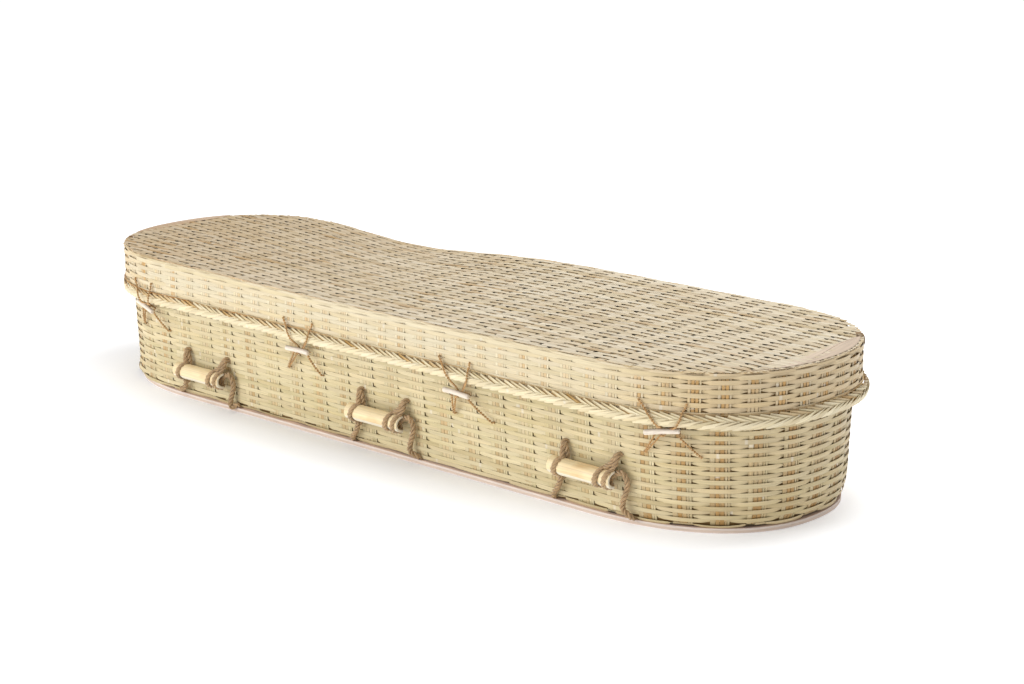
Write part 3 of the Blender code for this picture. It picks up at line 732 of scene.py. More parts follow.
def plait(name, place, plan, foot, height, thickness, pitch, material, rng, tops):
    """A herringbone border: slanted pairs of strips that meet in chevrons, round a solid core."""
    run, table = station_table(plan)
    count = round(run[-1] / pitch)
    step = run[-1] / count
    bars = []

    def at(along, share, lift):
        station = np.interp(np.mod(along, run[-1]), run, table)
        x, _ = oval_at(plan, station)
        full = thickness * (1 - 0.62 * np.clip((-x - 0.05) / 0.85, 0.0, 1.0)) - 0.0022
        swell = np.interp(share, [0.0, 0.15, 0.45, 0.75, 1.0], [0.80, 1.0, 0.92, 0.62, 0.28])
        sway = 0.0008 * np.sin(along * 11.0) + 0.0006 * np.sin(along * 23.0)
        return place(station, foot + share * height + sway, GAP + full * swell + lift)

    for number in range(count):
        start = number * step
        station = np.interp(np.mod(start, run[-1]), run, table)
        middle, _ = oval_at(plan, station)
        brown_share = tops * (1.0 + 1.2 * float(end_share(station)) + 1.5 * float(middle < -0.25))
        for upper in (True, False):
            for twin in range(1):
                share = np.linspace(1.0, 0.36, 7) if upper else np.linspace(0.0, 0.60, 7)
                share = share + rng.uniform(-0.03, 0.03)
                reach = 0.052 * rng.uniform(0.90, 1.15)
                begin = start + (0.0 if upper else 0.009) + rng.uniform(-0.002, 0.002)
                t = np.linspace(0.0, 1.0, len(share))
                along = begin + reach * t
                ridge = np.sin(np.pi * t) ** 0.7
                lift = 0.0010 * ridge - 0.0024 * t ** 3 if upper else 0.0013 * ridge - 0.0012 * (1 - t) ** 3
                route = at(along, share, lift)
                ahead = at(along + reach * 0.02, share + (share[-1] - share[0]) * 0.02, lift)
                face = at(along, share, lift + 0.001) - route
                face /= np.linalg.norm(face, axis=1, keepdims=True)
                forward = ahead - route
                forward /= np.linalg.norm(forward, axis=1, keepdims=True)
                side = np.cross(face, forward) + face * rng.uniform(0.12, 0.28)
                wide = (0.0046 if upper else 0.0044) * (0.66 + 0.34 * ridge) * rng.uniform(0.88, 1.06)
                brown = rng.uniform(0.4, 1.0) if upper and rng.uniform() < brown_share else rng.uniform(0, 0.2)
                bars.append(bar(route, side * wide[:, None], face * 0.0007, seed=rng.uniform(0, 1), tone=brown))
    # The core, toned 1.10, is full tan darkened a little with painted shade, where it shows between the strands
    along = np.linspace(0.0, run[-1], 401)
    for share, half in ((0.30, 0.30), (0.68, 0.28)):
        route = at(along, share, -0.0022)
        up = at(along, share + 0.01, -0.0022) - at(along, share - 0.01, -0.0022)
        up /= np.linalg.norm(up, axis=1, keepdims=True)
        face = at(along, share, -0.0012) - route
        face /= np.linalg.norm(face, axis=1, keepdims=True)
        bars.append(bar(route, up * height * half, face * 0.0016, seed=share, tone=1.10,
                        section=round_section(6)))
    return make_bars(name, bars, material)


def cane_ring(name, offset, climb, radius, material, rng, wobble, strands=1, far_side=0.0):
    """A slim cane, or a loose twist of several, bound round the lid. It is stouter and browner at the foot."""
    run, table = station_table(LID_PLAN)
    along = np.linspace(0.0, run[-1], 641)
    station = np.interp(np.mod(along, run[-1]), run, table)
    x, _ = oval_at(LID_PLAN, station)
    stout = 0.85 + 0.30 * np.clip(-x / 0.5, -1.0, 1.0) + far_side * (station > 1.3) * (station < 3.0)
    waves = [wobble * np.sin(along * rate + rng.uniform(0, 6.28)) for rate in (13.0, 29.0, 47.0)]
    bars = []
    for strand in range(strands):
        turn = along * 75.0 + 2 * np.pi * strand / strands
        spread = radius * 0.55 if strands > 1 else 0.0
        rise = climb + stout * spread * np.cos(turn) + waves[0] + 0.6 * waves[1]
        out = offset + stout * spread * np.sin(turn) + 0.8 * waves[2]
        up, face = directions(lid_wall, station, rise, out)
        thin = (stout * radius * (0.62 if strands > 1 else 1.0))[:, None]
        bars.append(bar(lid_wall(station, rise, out), up * thin, face * thin, along=along,
                        seed=rng.uniform(0, 1), tone=0.2 + 0.6 * np.clip(0.1 - x / 0.7, 0.0, 1.0) + 0.2 * np.sin(along * 31.0),
                        section=round_section(6)))
    return make_bars(name, bars, material)


# Routes of ropes and cords, as the part lays them

def wall_point(plan, place):
    """The near wall's point at a place along X, and the direction straight out of it."""
    length, width, depth = plan

    def edge(x):
        past = max(abs(x) - (length - depth), 0.0) / depth
        return width * (1 - past ** ROUNDNESS) ** (1 / ROUNDNESS)

    step = 0.001
    slope = (edge(place + step) - edge(place - step)) / (2 * step)
    outward = np.array([-slope, -1.0, 0.0])
    return np.array([place, -edge(place), 0.0]), outward / np.linalg.norm(outward)


def smooth_route(knots, step):
    """Points about a step apart on a smooth curve through the knots, whatever they carry."""
    knots = np.asarray(knots, float)
    ends = np.concatenate([knots[:1], knots, knots[-1:]])
    points = []
    for place in range(len(knots) - 1):
        a, b, c, d = ends[place:place + 4]
        length = np.linalg.norm(c[:3] - b[:3])
        leave = (c - a) * length / max(np.linalg.norm(c[:3] - a[:3]), 1e-6)
        arrive = (d - b) * length / max(np.linalg.norm(d[:3] - b[:3]), 1e-6)
        t = np.linspace(0.0, 1.0, max(2, round(length / step)), endpoint=False)[:, None]
        points.append((2 * t ** 3 - 3 * t ** 2 + 1) * b + (t ** 3 - 2 * t ** 2 + t) * leave
                      + (3 * t ** 2 - 2 * t ** 3) * c + (t ** 3 - t ** 2) * arrive)
    points.append(knots[-1:])
    return np.concatenate(points)


def carried_frame(route, start):
    """Two directions square to a route, carried along it without turning about it."""
    forward = np.gradient(route, axis=0)
    forward /= np.linalg.norm(forward, axis=1, keepdims=True)
    first = np.array(start, float)
    sides = []
    for direction in forward:
        first = first - direction * (first @ direction)
        first = first / np.linalg.norm(first)
        sides.append(first)
    sides = np.array(sides)
    return sides, np.cross(forward, sides)


def sling_side(band, height, curled):
    """One side's half of a rope: each knot is x, y, z, share of the thickness, and where it is pressed."""
    turns = np.radians([78, 52, 26, 0, -26, -52, -78])
    lead = (ROPE_IN_GROOVE / 2 + GRIP_RADIUS - GROOVE_DEPTH + GAP) / math.cos(math.radians(13))
    low = lead * GRIP_FLATNESS
    thin = ROPE_IN_GROOVE / ROPE_DIAMETER
    thick = ROPE_DIAMETER / 2
    out = GRIP_STANDOFF
    skim = thick + ROPE_SKIM

    def wrap(middle, slant):
        """One pass over the front of the grip, from its top edge to its bottom edge."""
        return [(middle + slant * math.sin(t), out + lead * math.cos(t), low * math.sin(t), thin,
                 math.cos(t), math.sin(t)) for t in turns]

    if curled:
        lean = ROPE_LEAN
        behind = [
            (0.016, out - 0.9 * thick, -low, thin, 0.0, -1.0),
            (0.009, skim, 0.0, 0.8, -1.0, 0.0),
            (0.003, out - 0.9 * thick, low, thin, 0.0, 1.0),
        ]
        arc = wrap(0.019, 0.004) + behind + wrap(-0.003, 0.005)
        turned = [
            (-0.002, out - 0.9 * thick, -low, thin, 0.0, -1.0),
            (0.006, skim, -0.5 * low, 0.9, -1.0, 0.0),
            (0.018, skim, 0.3 * low, 1.0, -1.0, 0.0),
            (0.032, skim + 0.003, 0.0130, 1.0, -1.0, 0.0),
            (0.043, skim + 0.004, 0.0150, 1.0, -1.0, 0.0),
            (0.050, skim + 0.002, 0.0060, 1.0, -1.0, 0.0),
            (0.051, skim, -0.0090, 1.0, -1.0, 0.0),
            (0.047, skim, -0.0260, 1.0, -1.0, 0.0),
            (0.042, skim, -0.0420, 1.0, -1.0, 0.0),
            (0.043, skim, -0.0580, 1.0, -1.0, 0.0),
        ]
        drift = 0.057
    else:
        lean = 0.004
        arc = wrap(0.0, 0.006)
        turned = [
            (-0.004, out, -low - 0.3 * thick, thin, 0.0, -1.0),
            (-0.006, out - thick, -low - 1.8 * thick, 1.0, -1.0, 0.0),
            (-0.012, skim, -low - 4.0 * thick, 1.0, -1.0, 0.0),
        ]
        drift = -0.032
    start = [
        (lean, -0.3 * thick, ROPE_DROP, 1.0, 0.0, 1.0),
        (lean, skim, ROPE_DROP, 1.0, 0.0, 1.0),
        (0.75 * lean + 0.25 * arc[0][0], out, low + 2.0 * thick, 1.0, 0.0, 1.0),
    ]
    knots = []
    for along, outward, above, share, level, up in start + arc + turned:
        beside = height + above if above == ROPE_DROP else height
        wall, _ = wall_point(body_plan(beside), band + along)
        knots.append((band + along, wall[1] - outward, height + above, share, -level, up))
    foot = -BODY_FOOT_PLAN[1]
    for turn, share in ((180, 0.90), (225, 0.52), (270, ROPE_PRESSED / ROPE_DIAMETER)):
        away = BODY_CORNER + GAP + share * thick + GAP * (270 - turn) / 90
        level, up = math.cos(math.radians(turn)), math.sin(math.radians(turn))
        across = foot + BODY_CORNER + away * level
        knots.append((band + drift, across, BODY_WALL_FOOT + away * up, share, level, up))
    knots.append((band + drift, foot + 0.030, knots[-1][2], knots[-1][3], 0.0, -1.0))
    # The other strand from the same hole, which passes behind the grip
    if curled:
        fork = [(lean - 0.002, skim, ROPE_DROP), (0.022, out, low + 2.2 * thick), (0.006, out - 0.3 * thick, low),
                (0.004, skim, 0.0)]
    else:
        fork = [(lean + 0.001, skim, ROPE_DROP), (0.010, skim, low + 2.2 * thick), (0.008, skim, 0.0),
                (-0.004, skim, -low - 1.5 * thick)]
    second = []
    for along, outward, above in fork:
        wall, _ = wall_point(body_plan(height + above), band + along)
        second.append((band + along, wall[1] - outward, height + above, 0.9, -1.0, 0.0))
    return knots, second


def laid_strands(knots, strands, radius, lay, step, rng, corners):
    """Strands laid round a route, flattened where the route says that something presses on them."""
    path = smooth_route(knots, step)
    route, share, press = path[:, :3], path[:, 3], np.zeros((len(path), 3))
    press[:, 1:] = path[:, 4:6]
    first, second = carried_frame(route, (1.0, 0.0, 0.0))
    forward = np.cross(first, second)
    press -= forward * np.sum(press * forward, axis=1, keepdims=True)
    press /= np.maximum(np.linalg.norm(press, axis=1, keepdims=True), 1e-6)
    across = np.cross(press, forward)
    flat = np.clip(share, 0.0, 1.0)[:, None]
    wide = (1 + 0.45 * (1 - flat)) * np.where(flat > 0.5, 0.70 + 0.30 * flat, 1.0)

    def pressed(offset):
        down = np.sum(offset * press, axis=1, keepdims=True)
        beside = np.sum(offset * across, axis=1, keepdims=True)
        squashed = press * down * flat + across * beside * wide
        return np.where(flat > 0.985, offset, squashed)

    along = np.concatenate([[0.0], np.cumsum(np.linalg.norm(np.diff(route, axis=0), axis=1))])
    orbit = radius * (0.54 if strands == 3 else 0.48)
    bars = []
    for strand in range(strands):
        turn = (2 * np.pi * (along / lay + strand / strands))[:, None]
        centre = first * np.cos(turn) + second * np.sin(turn)
        beside = -first * np.sin(turn) + second * np.cos(turn)
        fat = radius * 0.52 * (1 + 0.06 * np.sin(along * 90 + strand * 2))[:, None]
        bars.append(bar(route + pressed(centre * orbit), pressed(beside * fat), pressed(centre * fat),
                        along=along, seed=strand * 1.7 + rng.uniform(0, 1), section=round_section(corners)))
    return bars


def laid_rope(name, routes, strands, radius, lay, step, material, rng, corners=8):
    bars = []
    for knots in routes:
        bars += laid_strands(knots, strands, radius, lay, step, rng, corners)
    return make_bars(name, bars, material)


def tie_point(place, along, outward, height, plan):
    """A point measured along the wall from a tie's middle, and straight out from the wall."""
    wall, direction = wall_point(plan, place)
    run = np.array([-direction[1], direction[0], 0.0])
    point, normal = wall_point(plan, (wall + run * along)[0])
    spot = point + normal * outward
    return np.array([spot[0], spot[1], height])


def straight_leg(number, start, end, levels, plan, height, standoff):
    """A cord's leg down the lid's side to the toggle, straight when seen from the near head corner."""
    place, rise = TIE_PLACES[number], LID_TIE_RISES[number]
    across = np.array([1.0, 0.92, 0.0])
    first = tie_point(place, start, 0.0, LID_BOTTOM + rise, LID_PLAN) @ across
    last = tie_point(place, end, standoff, height, plan) @ across
    points = []
    for outward, level in levels:
        share = (LID_BOTTOM + rise - level) / (LID_BOTTOM + rise - height)
        along = start + (end - start) * share
        for _ in range(4):
            point = tie_point(place, along, outward, level, LID_PLAN)
            along += first + (last - first) * share - point @ across
        points.append(point)
    return points


def tie_routes(number, height):
    """The routes of the cord from the lid and of the two strands of the cord from the body."""
    place, shift = TIE_PLACES[number], TOGGLE_SHIFTS[number]
    thick = TIE_CORD / 2
    plan = body_plan(height)
    hold = 0.94 * (TOGGLE_DIAMETER / 2 + thick)
    clear = GAP + thick
    rise = LID_TIE_RISES[number]
    levels = (
        (-0.5 * thick, LID_BOTTOM + rise),
        (1.2 * clear, LID_BOTTOM + rise - 0.0015),
        (0.0020 + clear, LID_BOTTOM + LID_PLAIT_HEIGHT + 0.0035),
        (0.78 * LID_PLAIT_THICKNESS + clear, LID_BOTTOM + 0.75 * LID_PLAIT_HEIGHT),
        (LID_PLAIT_THICKNESS + clear, LID_BOTTOM + 0.38 * LID_PLAIT_HEIGHT),
        (0.80 * LID_PLAIT_THICKNESS + clear, LID_BOTTOM - 0.0015),
    )
    lid_knots = []
    for side, (hole, head) in enumerate(zip(LID_TIE_HOLES[number], (-0.003, 0.009))):
        leg = straight_leg(number, hole, shift + head, levels, plan, height, TOGGLE_STANDOFF - hold)
        leg.append(tie_point(place, shift + head, TOGGLE_STANDOFF - hold, height + 0.5 * hold, plan))
        leg.append(tie_point(place, shift + 0.7 * head, TOGGLE_STANDOFF - 0.5 * hold, height - 0.8 * hold, plan))
        lid_knots = leg if side == 0 else lid_knots + leg[::-1]
        if side == 0:
            lid_knots.append(tie_point(place, shift + 0.003, TOGGLE_STANDOFF + 0.6 * hold, height - 0.80 * hold,
                                       plan))
    low = height - BODY_TIE_RISE
    legs = []
    for hole, head in zip((*BODY_TIE_HOLES[number], BODY_TIE_HOLES[number][0] + 0.002), (-0.0145, 0.031, -0.004)):
        legs.append([
            tie_point(place, hole, -0.5 * thick, low, body_plan(low)),
            tie_point(place, hole, 1.5 * clear, low, body_plan(low)),
            tie_point(place, shift + head, TOGGLE_STANDOFF - 0.3 * hold, height - 0.95 * hold, plan),
            tie_point(place, shift + head, TOGGLE_STANDOFF - hold, height + 0.1 * hold, plan),
        ])
    return [lid_knots], [legs[0] + legs[1][::-1], legs[2]]


def with_press(points):
    """Adds a full share and no pressing to plain points."""
    return [(*point, 1.0, 0.0, 1.0) for point in points]


# Operators

class CoffinBoard(bpy.types.Operator):
    """Makes the oval plywood board under the basket."""
    bl_idname = "coffin.board"
    bl_label = "Base board"

    def execute(self, context):
        bm = bmesh.new()
        made = bmesh.ops.create_circle(bm, cap_ends=True, segments=220, radius=1.0)
        station = np.array([math.atan2(v.co.y, v.co.x) for v in made["verts"]]) / (2 * np.pi)
        run, table = station_table(BOARD_PLAN)
        x, y = oval_at(BOARD_PLAN, np.interp(np.mod(station, 1.0) * run[-1], run, table))
        for vertex, px, py in zip(made["verts"], x, y):
            vertex.co = (px + BOARD_SHIFT, py, 0.0)
        grown = bmesh.ops.extrude_face_region(bm, geom=bm.faces[:])
        tops = [item for item in grown["geom"] if isinstance(item, bmesh.types.BMVert)]
        bmesh.ops.translate(bm, verts=tops, vec=(0.0, 0.0, BOARD_HIGH.z))
        bmesh.ops.recalc_face_normals(bm, faces=bm.faces)
        rims = [edge for edge in bm.edges if abs(edge.verts[0].co.z - edge.verts[1].co.z) < 1e-6]
        bmesh.ops.bevel(bm, geom=rims, offset=0.0008, segments=2, profile=0.5, affect="EDGES", material=-1)
        mesh = bpy.data.meshes.new("board")
        bm.to_mesh(mesh)
        bm.free()
        mesh.shade_smooth()
        mesh.set_sharp_from_angle(angle=math.radians(40))
        dress(put("plywood_board", mesh, layered_plywood()), "plywood", "base_board")
        return {"FINISHED"}


class CoffinBody(bpy.types.Operator):
    """Weaves the basket's wall and floor, and plaits its upper edge."""
    bl_idname = "coffin.body"
    bl_label = "Basket"

    def execute(self, context):
        rng = np.random.default_rng(11)
        look = colours()
        material = split_bamboo("split_bamboo_wall", tuple(look.strip), tuple(look.strip_dull),
                                tuple(look.stave), 0.48)
        pitch, bundle = sizes().row_pitch, sizes().body_bundle
        top = BODY_TOP - BODY_FLOOR - BODY_CORNER + BODY_CORNER * math.pi / 2
        climbs = 0.0040 + pitch * np.arange(int((top - 0.002) / pitch))
        climbs = climbs[climbs < top - 0.004]
        half = sum(width for width, _ in BODY_STAVES) / 2
        rows = weave_rows("body_weave", body_wall, BODY_TOP_PLAN, climbs, bundle, half, material, rng, 1.0,
                          droop=0.0020)
        dress(rows, "woven_bamboo", "body_basket")
        dress(weave_staves("body_staves", body_wall, BODY_TOP_PLAN, climbs, bundle, BODY_STAVES, material, rng,
                           top - 0.002),
              "woven_bamboo")
        bars = []
        for row in range(-30, 31):
            y = row * 0.0086
            limit = edge_x(abs(y) * 1.17, 0.050)
            if abs(y) > 0.250:
                continue
            x = np.linspace(-limit, limit, 9)
            route = np.stack([x, np.full(9, y), np.full(9, BODY_FLOOR + 0.0030)], -1)
            side, face = np.zeros_like(route), np.zeros_like(route)
            side[:, 1], face[:, 2] = 0.0043, 0.0012
            bars.append(bar(route, side, face, seed=rng.uniform(0, 1), tone=0.2))
        dress(make_bars("body_floor", bars, material), "woven_bamboo")
        rim = plait("body_edge_plait", body_wall, BODY_TOP_PLAN, top - 0.025, 0.020, 0.0045, 0.048,
                    material, rng, 0.2)
        dress(rim, "plaited_bamboo", "body_rim_plait")
        return {"FINISHED"}


class CoffinLid(bpy.types.Operator):
    """Weaves the lid, and adds its plait, its canes and its end slats."""
    bl_idname = "coffin.lid"
    bl_label = "Lid"

    def execute(self, context):
        rng = np.random.default_rng(23)
        look = colours()
        wall_finish = split_bamboo("split_bamboo_lid", tuple(look.lid_strip), linear("DCCB9F"),
                                   linear("D3A868"), 0.50)
        top_finish = split_bamboo("split_bamboo_top", tuple(look.top_strip), linear("CBB484"),
                                  linear("BC9862"), 0.46)
        plait_finish = split_bamboo("split_bamboo_plait", linear("EFE2BF"), linear("DCCB9C"),
                                    linear("C29A58"), 0.48)
        cane_finish = split_bamboo("split_cane", linear("E4CC9C"), linear("D6B983"), tuple(look.cane), 0.45)
        edge_finish = split_bamboo("split_edge_cane", linear("E6D3B4"), linear("D8C4A2"), linear("D0AE86"),
                                   0.50)
        slat_finish = split_bamboo("split_slat", tuple(look.slat), linear("E3D3C0"), linear("C7A178"), 0.50)
        climbs = 0.0045 + sizes().row_pitch * np.arange(20)
        climbs = climbs[climbs < LID_SIDE - 0.003]
        corner = climbs[-1] + sizes().row_pitch / 2 + 0.0022
        climbs = np.append(climbs, [corner, corner + 0.0044])
        half = sum(width for width, _ in LID_STAVES) / 2
        rows = weave_rows("lid_wall_weave", lid_wall, LID_PLAN, climbs, sizes().lid_bundle, half,
                          wall_finish, rng, 0.4, narrow=corner - 0.001, blush=0.27)
        dress(rows, "woven_bamboo", "lid_basket")
        dress(weave_staves("lid_wall_staves", lid_wall, LID_PLAN, climbs, sizes().lid_bundle, LID_STAVES,
                           wall_finish, rng, LID_SIDE - 0.001), "woven_bamboo")
        dress(woven_lid_top(top_finish, rng), "woven_bamboo")
        band = plait("lid_plait", lid_wall, LID_PLAN, -0.0015, LID_PLAIT_HEIGHT, LID_PLAIT_THICKNESS,
                     sizes().plait_pitch, plait_finish, rng, 0.20)
        dress(band, "plaited_bamboo", "lid_rim_plait")
        rim = cane_ring("lid_rim_binding", 0.0014, LID_PLAIT_HEIGHT + 0.0004, 0.0019, cane_finish, rng, 0.0008,
                        strands=2)
        dress(rim, "cane", "lid_rim_cane")
        edge = cane_ring("lid_edge_binding", -0.0004, LID_SIDE + LID_CORNER * 1.30, 0.0009, edge_finish, rng,
                         0.0007, far_side=0.5)
        dress(edge, "cane", "lid_edge_cane")
        dress(self.lashings(cane_finish, rng), "cane")
        for label, side in (("head", 1), ("foot", -1)):
            dress(self.end_slats(label, side, slat_finish, rng), "flat_slat", f"lid_end_slat_{label}")
        return {"FINISHED"}

    def lashings(self, material, rng):
        """The dark ends of the edge cane, tucked over the rim at two corners."""
        bars = []
        climb = np.linspace(LID_SIDE - 0.012, LID_SIDE + LID_CORNER * math.pi / 2 + 0.010, 9)
        for corner in (1.690, 1.700, 1.712, 3.700, 3.716):
            station = corner + 0.012 * np.linspace(-0.5, 0.5, 9) * rng.choice([-1.0, 1.0])
            up, face = directions(lid_wall, station, climb, 0.0016)
            side = np.cross(face, up)
            bars.append(bar(lid_wall(station, climb, 0.0016), side * 0.0026, face * 0.0006,
                            seed=rng.uniform(0, 1), tone=rng.uniform(1.5, 1.9)))
        return make_bars("edge_lashings", bars, material)

    def end_slats(self, label, side, material, rng):
        """Two overlapping flat slats, bent along the rim, that fill one rounded end."""
        chord, inset = SLAT_LOW.x + (0.013 if side > 0 else 0.033), 0.007
        corner = edge_y(chord, inset) - 0.004
        y = np.linspace(-corner, corner, 41)
        rim = edge_x(y, inset)
        slant = chord + (rim - chord) * (0.5 - 0.45 * np.clip(y / (0.6 * corner), -1.0, 1.0))
        bars = []
        inner = chord + 0.018 * np.clip(-side * y / 0.11, 0.0, 1.2)
        for low, high, lift, tilt in ((inner, slant + 0.003, 0.0003, 0.0008), (slant - 0.003, rim, 0.0009, 0.0005)):
            low, high = np.minimum(low, rim - 0.003), np.minimum(high, rim)
            half = np.maximum((high - low) / 2, 0.0015)
            route = np.stack([side * (low + high) / 2, y, np.full_like(y, LID_TOP + lift)], -1)
            wide, face = np.zeros_like(route), np.zeros_like(route)
            wide[:, 0], wide[:, 2], face[:, 2] = half, side * tilt, 0.0005
            bars.append(bar(route, wide, face, seed=rng.uniform(0, 1),
                            tone=rng.uniform(0.0, 0.3) + (0.6 if side < 0 else 0.0)))
        return make_bars(f"end_slats_{label}", bars, material)


class CoffinGrips(bpy.types.Operator):
    """Makes the six grips, each half of a split culm with a groove for each rope."""
    bl_idname = "coffin.grips"
    bl_label = "Grips"

    def execute(self, context):
        skin, raw = culm_skin(), cut_culm()
        for place, (label, height) in enumerate(zip(GRIP_NAMES, GRIP_HEIGHTS)):
            middle = ROW_SHIFT + (place - 1) * GRIP_SPACING
            for face, side in (("near", -1), ("far", 1)):
                self.grip(f"{label}_{face}", middle, side, height, skin, raw)
        return {"FINISHED"}

    def grip(self, label, middle, side, height, skin, raw):
        wall, _ = wall_point(body_plan(height), middle)
        back = wall[1] - GRIP_STANDOFF
        half, groove, wide = GRIP_LENGTH / 2, ROPE_SPACING / 2, 0.0052
        deep = GRIP_RADIUS - GROOVE_DEPTH
        profile = [(-half + 0.010, GRIP_RADIUS - 0.0004)]
        for centre in (-groove, groove):
            profile += [(centre - wide - 0.0035, GRIP_RADIUS), (centre - wide, GRIP_RADIUS - 0.0006),
                        (centre - wide + 0.0012, deep), (centre + wide - 0.0012, deep),
                        (centre + wide, GRIP_RADIUS - 0.0006), (centre + wide + 0.0035, GRIP_RADIUS)]
            if centre < 0:
                profile += [(-0.018, GRIP_RADIUS - 0.0005), (0.020, GRIP_RADIUS - 0.0003)]
        profile += [(half, GRIP_RADIUS - 0.0004)]
        bm = bmesh.new()
        verts = [bm.verts.new((middle + x, back, height - r)) for x, r in profile]
        edges = [bm.edges.new(pair) for pair in zip(verts, verts[1:])]
        bmesh.ops.spin(bm, geom=verts + edges, cent=(middle, back, height), axis=(1.0, 0.0, 0.0),
                       dvec=(0.0, 0.0, 0.0), angle=-math.pi, steps=24, use_duplicate=False)
        for vertex in bm.verts:
            vertex.co.z = height + (vertex.co.z - height) * GRIP_FLATNESS
        bmesh.ops.recalc_face_normals(bm, faces=bm.faces)
        apex = min(bm.faces, key=lambda f: f.calc_center_median().y)
        if apex.normal.y > 0:
            bmesh.ops.reverse_faces(bm, faces=bm.faces)
        if side > 0:
            bmesh.ops.scale(bm, vec=(1.0, -1.0, 1.0), verts=bm.verts)
            bmesh.ops.reverse_faces(bm, faces=bm.faces)
        for face in bm.faces:
            spot = face.calc_center_median()
            if math.atan2(height - spot.z, (spot.y - back) * side) > math.radians(21):
                face.material_index = 1
        mesh = bpy.data.meshes.new("grip_" + label)
        bm.to_mesh(mesh)
        bm.free()
        mesh.shade_smooth()
        mesh.set_sharp_from_angle(angle=math.radians(35))
        piece = put("culm_grip_" + label, mesh, skin, raw)
        shell = piece.modifiers.new("wall", "SOLIDIFY")
        shell.thickness = 0.0050
        shell.offset = -1
        shell.use_even_offset = True
        shell.material_offset = 1
        shell.material_offset_rim = 1
        round_over = piece.modifiers.new("edges", "BEVEL")
        round_over.width = 0.0005
        round_over.segments = 2
        round_over.limit_method = "ANGLE"
        round_over.angle_limit = math.radians(50)
        dress(piece, "culm", "grip_" + label)


class CoffinRopes(bpy.types.Operator):
    """Lays the six three-strand ropes that sling the grips and pass under the basket."""
    bl_idname = "coffin.ropes"
    bl_label = "Ropes"

    def execute(self, context):
        rng = np.random.default_rng(31)
        material = twisted_jute("laid_jute_rope", tuple(colours().rope), 260.0)
        for place, (label, height) in enumerate(zip(GRIP_NAMES, GRIP_HEIGHTS)):
            middle = ROW_SHIFT + (place - 1) * GRIP_SPACING
            for end, curled in (("foot", False), ("head", True)):
                band = middle + (ROPE_SPACING / 2 if curled else -ROPE_SPACING / 2)
                near, fork = sling_side(band, height, curled)
                far, far_fork = ([(x, -y, z, share, -level, up) for x, y, z, share, level, up in reversed(half)]
                                 for half in (near, fork))
                piece = laid_rope(f"sling_{label}_{end}", (near + far, fork, far_fork), 3, ROPE_DIAMETER / 2 * 1.0,
                                  sizes().rope_lay, 0.0028, material, rng)
                dress(piece, "jute_rope", f"rope_{label}_{end}")
        return {"FINISHED"}


class CoffinTies(bpy.types.Operator):
    """Makes the eight toggles and the cords that hold them to the lid and the basket."""
    bl_idname = "coffin.ties"
    bl_label = "Ties"

    def execute(self, context):
        rng = np.random.default_rng(47)
        stick_finish = peeled_stick()
        cord_finish = twisted_jute("spun_jute_cord", tuple(colours().cord), 500.0)
        for number, place in enumerate(TIE_PLACES):
            height = LID_BOTTOM - TOGGLE_DROPS[number]
            tilt = math.radians(TOGGLE_TILTS[number])
            plan = body_plan(height)
            centre = tie_point(place, TOGGLE_SHIFTS[number], TOGGLE_STANDOFF, height, plan)
            _, direction = wall_point(plan, place)
            run = np.array([-direction[1], direction[0], 0.0]) * math.cos(tilt)
            run[2] = -math.sin(tilt)
            lid_routes, body_routes = tie_routes(number, height)
            for face, side in (("near", 1.0), ("far", -1.0)):
                flip = np.array([1.0, side, 1.0])
                label = f"{number + 1}_{face}"
                t = np.array([0.0, 0.012, 0.05, 0.2, 0.4, 0.6, 0.8, 0.95, 0.988, 1.0])
                fat = np.array([0.72, 0.95, 1.0, 1.0, 1.0, 1.0, 1.0, 1.0, 0.95, 0.72])
                fat = fat * (1 + rng.uniform(-0.04, 0.04, len(t))) * TOGGLE_DIAMETER / 2
                bow = 0.0008 * np.sin(np.pi * t)[:, None] * np.array([0.0, 0.0, 1.0])
                route = (centre + run * ((t - 0.5) * TOGGLE_LENGTH)[:, None] + bow) * flip
                first, second = carried_frame(route, (0.0, 0.0, 1.0))
                stick = bar(route, first * fat[:, None], second * fat[:, None], seed=rng.uniform(0, 9),
                            section=round_section(12))
                dress(make_bars("toggle_" + label, [stick], stick_finish), "peeled_stick",
                      "tie_toggle_" + label)
                for kind, routes in (("lid", lid_routes), ("body", body_routes)):
                    laid = [with_press([point * flip for point in knots]) for knots in routes]
                    piece = laid_rope(f"cord_{kind}_{label}", laid, 2, TIE_CORD / 2, sizes().cord_lay,
                                      0.0018, cord_finish, rng, corners=6)
                    dress(piece, "jute_cord", f"tie_{kind}_cord_{label}")
        return {"FINISHED"}


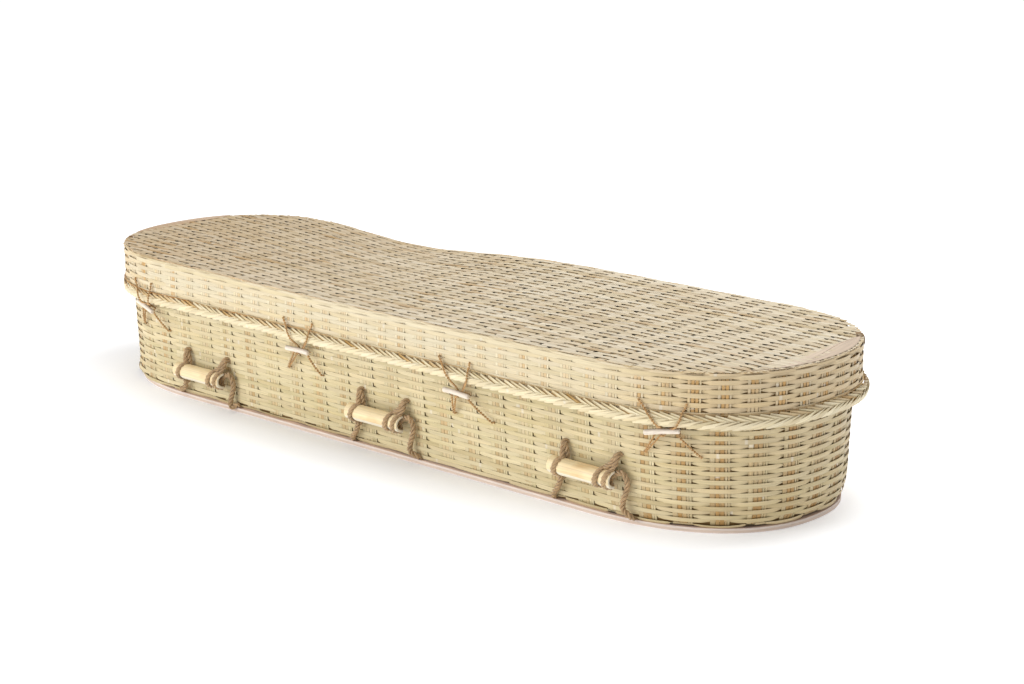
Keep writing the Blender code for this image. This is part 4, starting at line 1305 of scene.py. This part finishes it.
class CoffinStage(bpy.types.Operator):
    """Sets the pale floor, the soft studio light and the camera."""
    bl_idname = "coffin.stage"
    bl_label = "Stage"

    def execute(self, context):
        bm = bmesh.new()
        bmesh.ops.create_grid(bm, x_segments=1, y_segments=1, size=90.0)
        mesh = bpy.data.meshes.new("floor")
        bm.to_mesh(mesh)
        bm.free()
        material, tree, shader = new_material("pale_floor")
        shader.inputs["Base Color"].default_value = linear("F4F5F8")
        shader.inputs["Roughness"].default_value = 0.9
        shader.inputs["Specular IOR Level"].default_value = 0.1
        shader.inputs["Emission Color"].default_value = (1.0, 1.0, 1.0, 1.0)
        # The floor glows, as painted light, and glows less near the coffin, which paints a soft shadow round it
        # beside the lamps' own shadow
        where = add(tree, "ShaderNodeTexCoord", {})
        flat = add(tree, "ShaderNodeMapping", {0: where.outputs["Object"], 1: (0.035, 0.0, 0.0),
                                               3: (0.35, 1.0, 0.0)})
        away = add(tree, "ShaderNodeVectorMath", {0: flat.outputs[0]}, operation="LENGTH")
        glow = add(tree, "ShaderNodeMapRange", {0: away.outputs["Value"], 1: 0.28, 2: 0.49, 3: 0.06, 4: 0.52})
        tree.links.new(glow.outputs[0], shader.inputs["Emission Strength"])
        put("studio_floor", mesh, material)
        world = bpy.data.worlds.new("studio")
        world.use_nodes = True
        tree = world.node_tree
        toward = add(tree, "ShaderNodeTexCoord", {})
        bright = add(tree, "ShaderNodeVectorMath", {0: toward.outputs["Generated"], 1: (-0.8, -0.6, 0.0)},
                     operation="DOT_PRODUCT")
        level = add(tree, "ShaderNodeMapRange", {0: bright.outputs["Value"], 1: -1.0, 2: 1.0, 3: 0.15, 4: 1.05})
        tree.links.new(level.outputs[0], tree.nodes["Background"].inputs["Strength"])
        tree.nodes["Background"].inputs["Color"].default_value = (1.0, 1.0, 1.0, 1.0)
        context.scene.world = world
        self.lamp("key", (-2.2, -5.0, 2.0), (0.0, 0.0, 0.15), 3.0, 100.0)
        self.lamp("top", (0.9, 1.6, 3.5), (0.4, 0.0, 0.3), 2.0, 66.0)
        lens = bpy.data.cameras.new("camera")
        lens.lens = 2200 / 1024 * 36
        lens.sensor_width = 36.0
        lens.clip_end = 200.0
        camera = bpy.data.objects.new("camera", lens)
        context.scene.collection.objects.link(camera)
        camera.location = (3.2092, -3.3056, 1.3579)
        camera.rotation_euler = (math.pi / 2 - 0.2493, 0.0, 0.7461)
        context.scene.camera = camera
        context.scene.view_settings.view_transform = "Standard"
        return {"FINISHED"}

    def lamp(self, name, spot, target, size, power):
        light = bpy.data.lights.new(name, "AREA")
        light.shape = "DISK"
        light.size = size
        light.energy = power
        lamp = bpy.data.objects.new(name, light)
        bpy.context.scene.collection.objects.link(lamp)
        away = Matrix.Translation(spot).translation - Matrix.Translation(target).translation
        lamp.location = spot
        lamp.rotation_euler = away.to_track_quat("Z", "Y").to_euler()


OPERATORS = (CoffinStage, CoffinBoard, CoffinBody, CoffinLid, CoffinGrips, CoffinRopes, CoffinTies)


class CoffinPanel(bpy.types.Panel):
    """Lists the coffin's pieces, sizes and colours."""
    bl_idname = "COFFIN_PT_pieces"
    bl_label = "Bamboo coffin"
    bl_space_type = "VIEW_3D"
    bl_region_type = "UI"
    bl_category = "Coffin"

    def draw(self, context):
        for operator in OPERATORS:
            self.layout.operator(operator.bl_idname)
        for group in (context.scene.coffin_sizes, context.scene.coffin_colours):
            for key in group.bl_rna.properties.keys():
                if key not in ("rna_type", "name"):
                    self.layout.prop(group, key)


CLASSES = (CoffinSizes, CoffinColours, *OPERATORS, CoffinPanel)


def register():
    for made in CLASSES:
        bpy.utils.register_class(made)
    bpy.types.Scene.coffin_sizes = bpy.props.PointerProperty(type=CoffinSizes)
    bpy.types.Scene.coffin_colours = bpy.props.PointerProperty(type=CoffinColours)


def unregister():
    del bpy.types.Scene.coffin_colours
    del bpy.types.Scene.coffin_sizes
    for made in reversed(CLASSES):
        bpy.utils.unregister_class(made)


def main():
    register()
    bpy.ops.coffin.stage()
    bpy.ops.coffin.board()
    bpy.ops.coffin.body()
    bpy.ops.coffin.lid()
    bpy.ops.coffin.grips()
    bpy.ops.coffin.ropes()
    bpy.ops.coffin.ties()


if __name__ == "__main__":
    main()
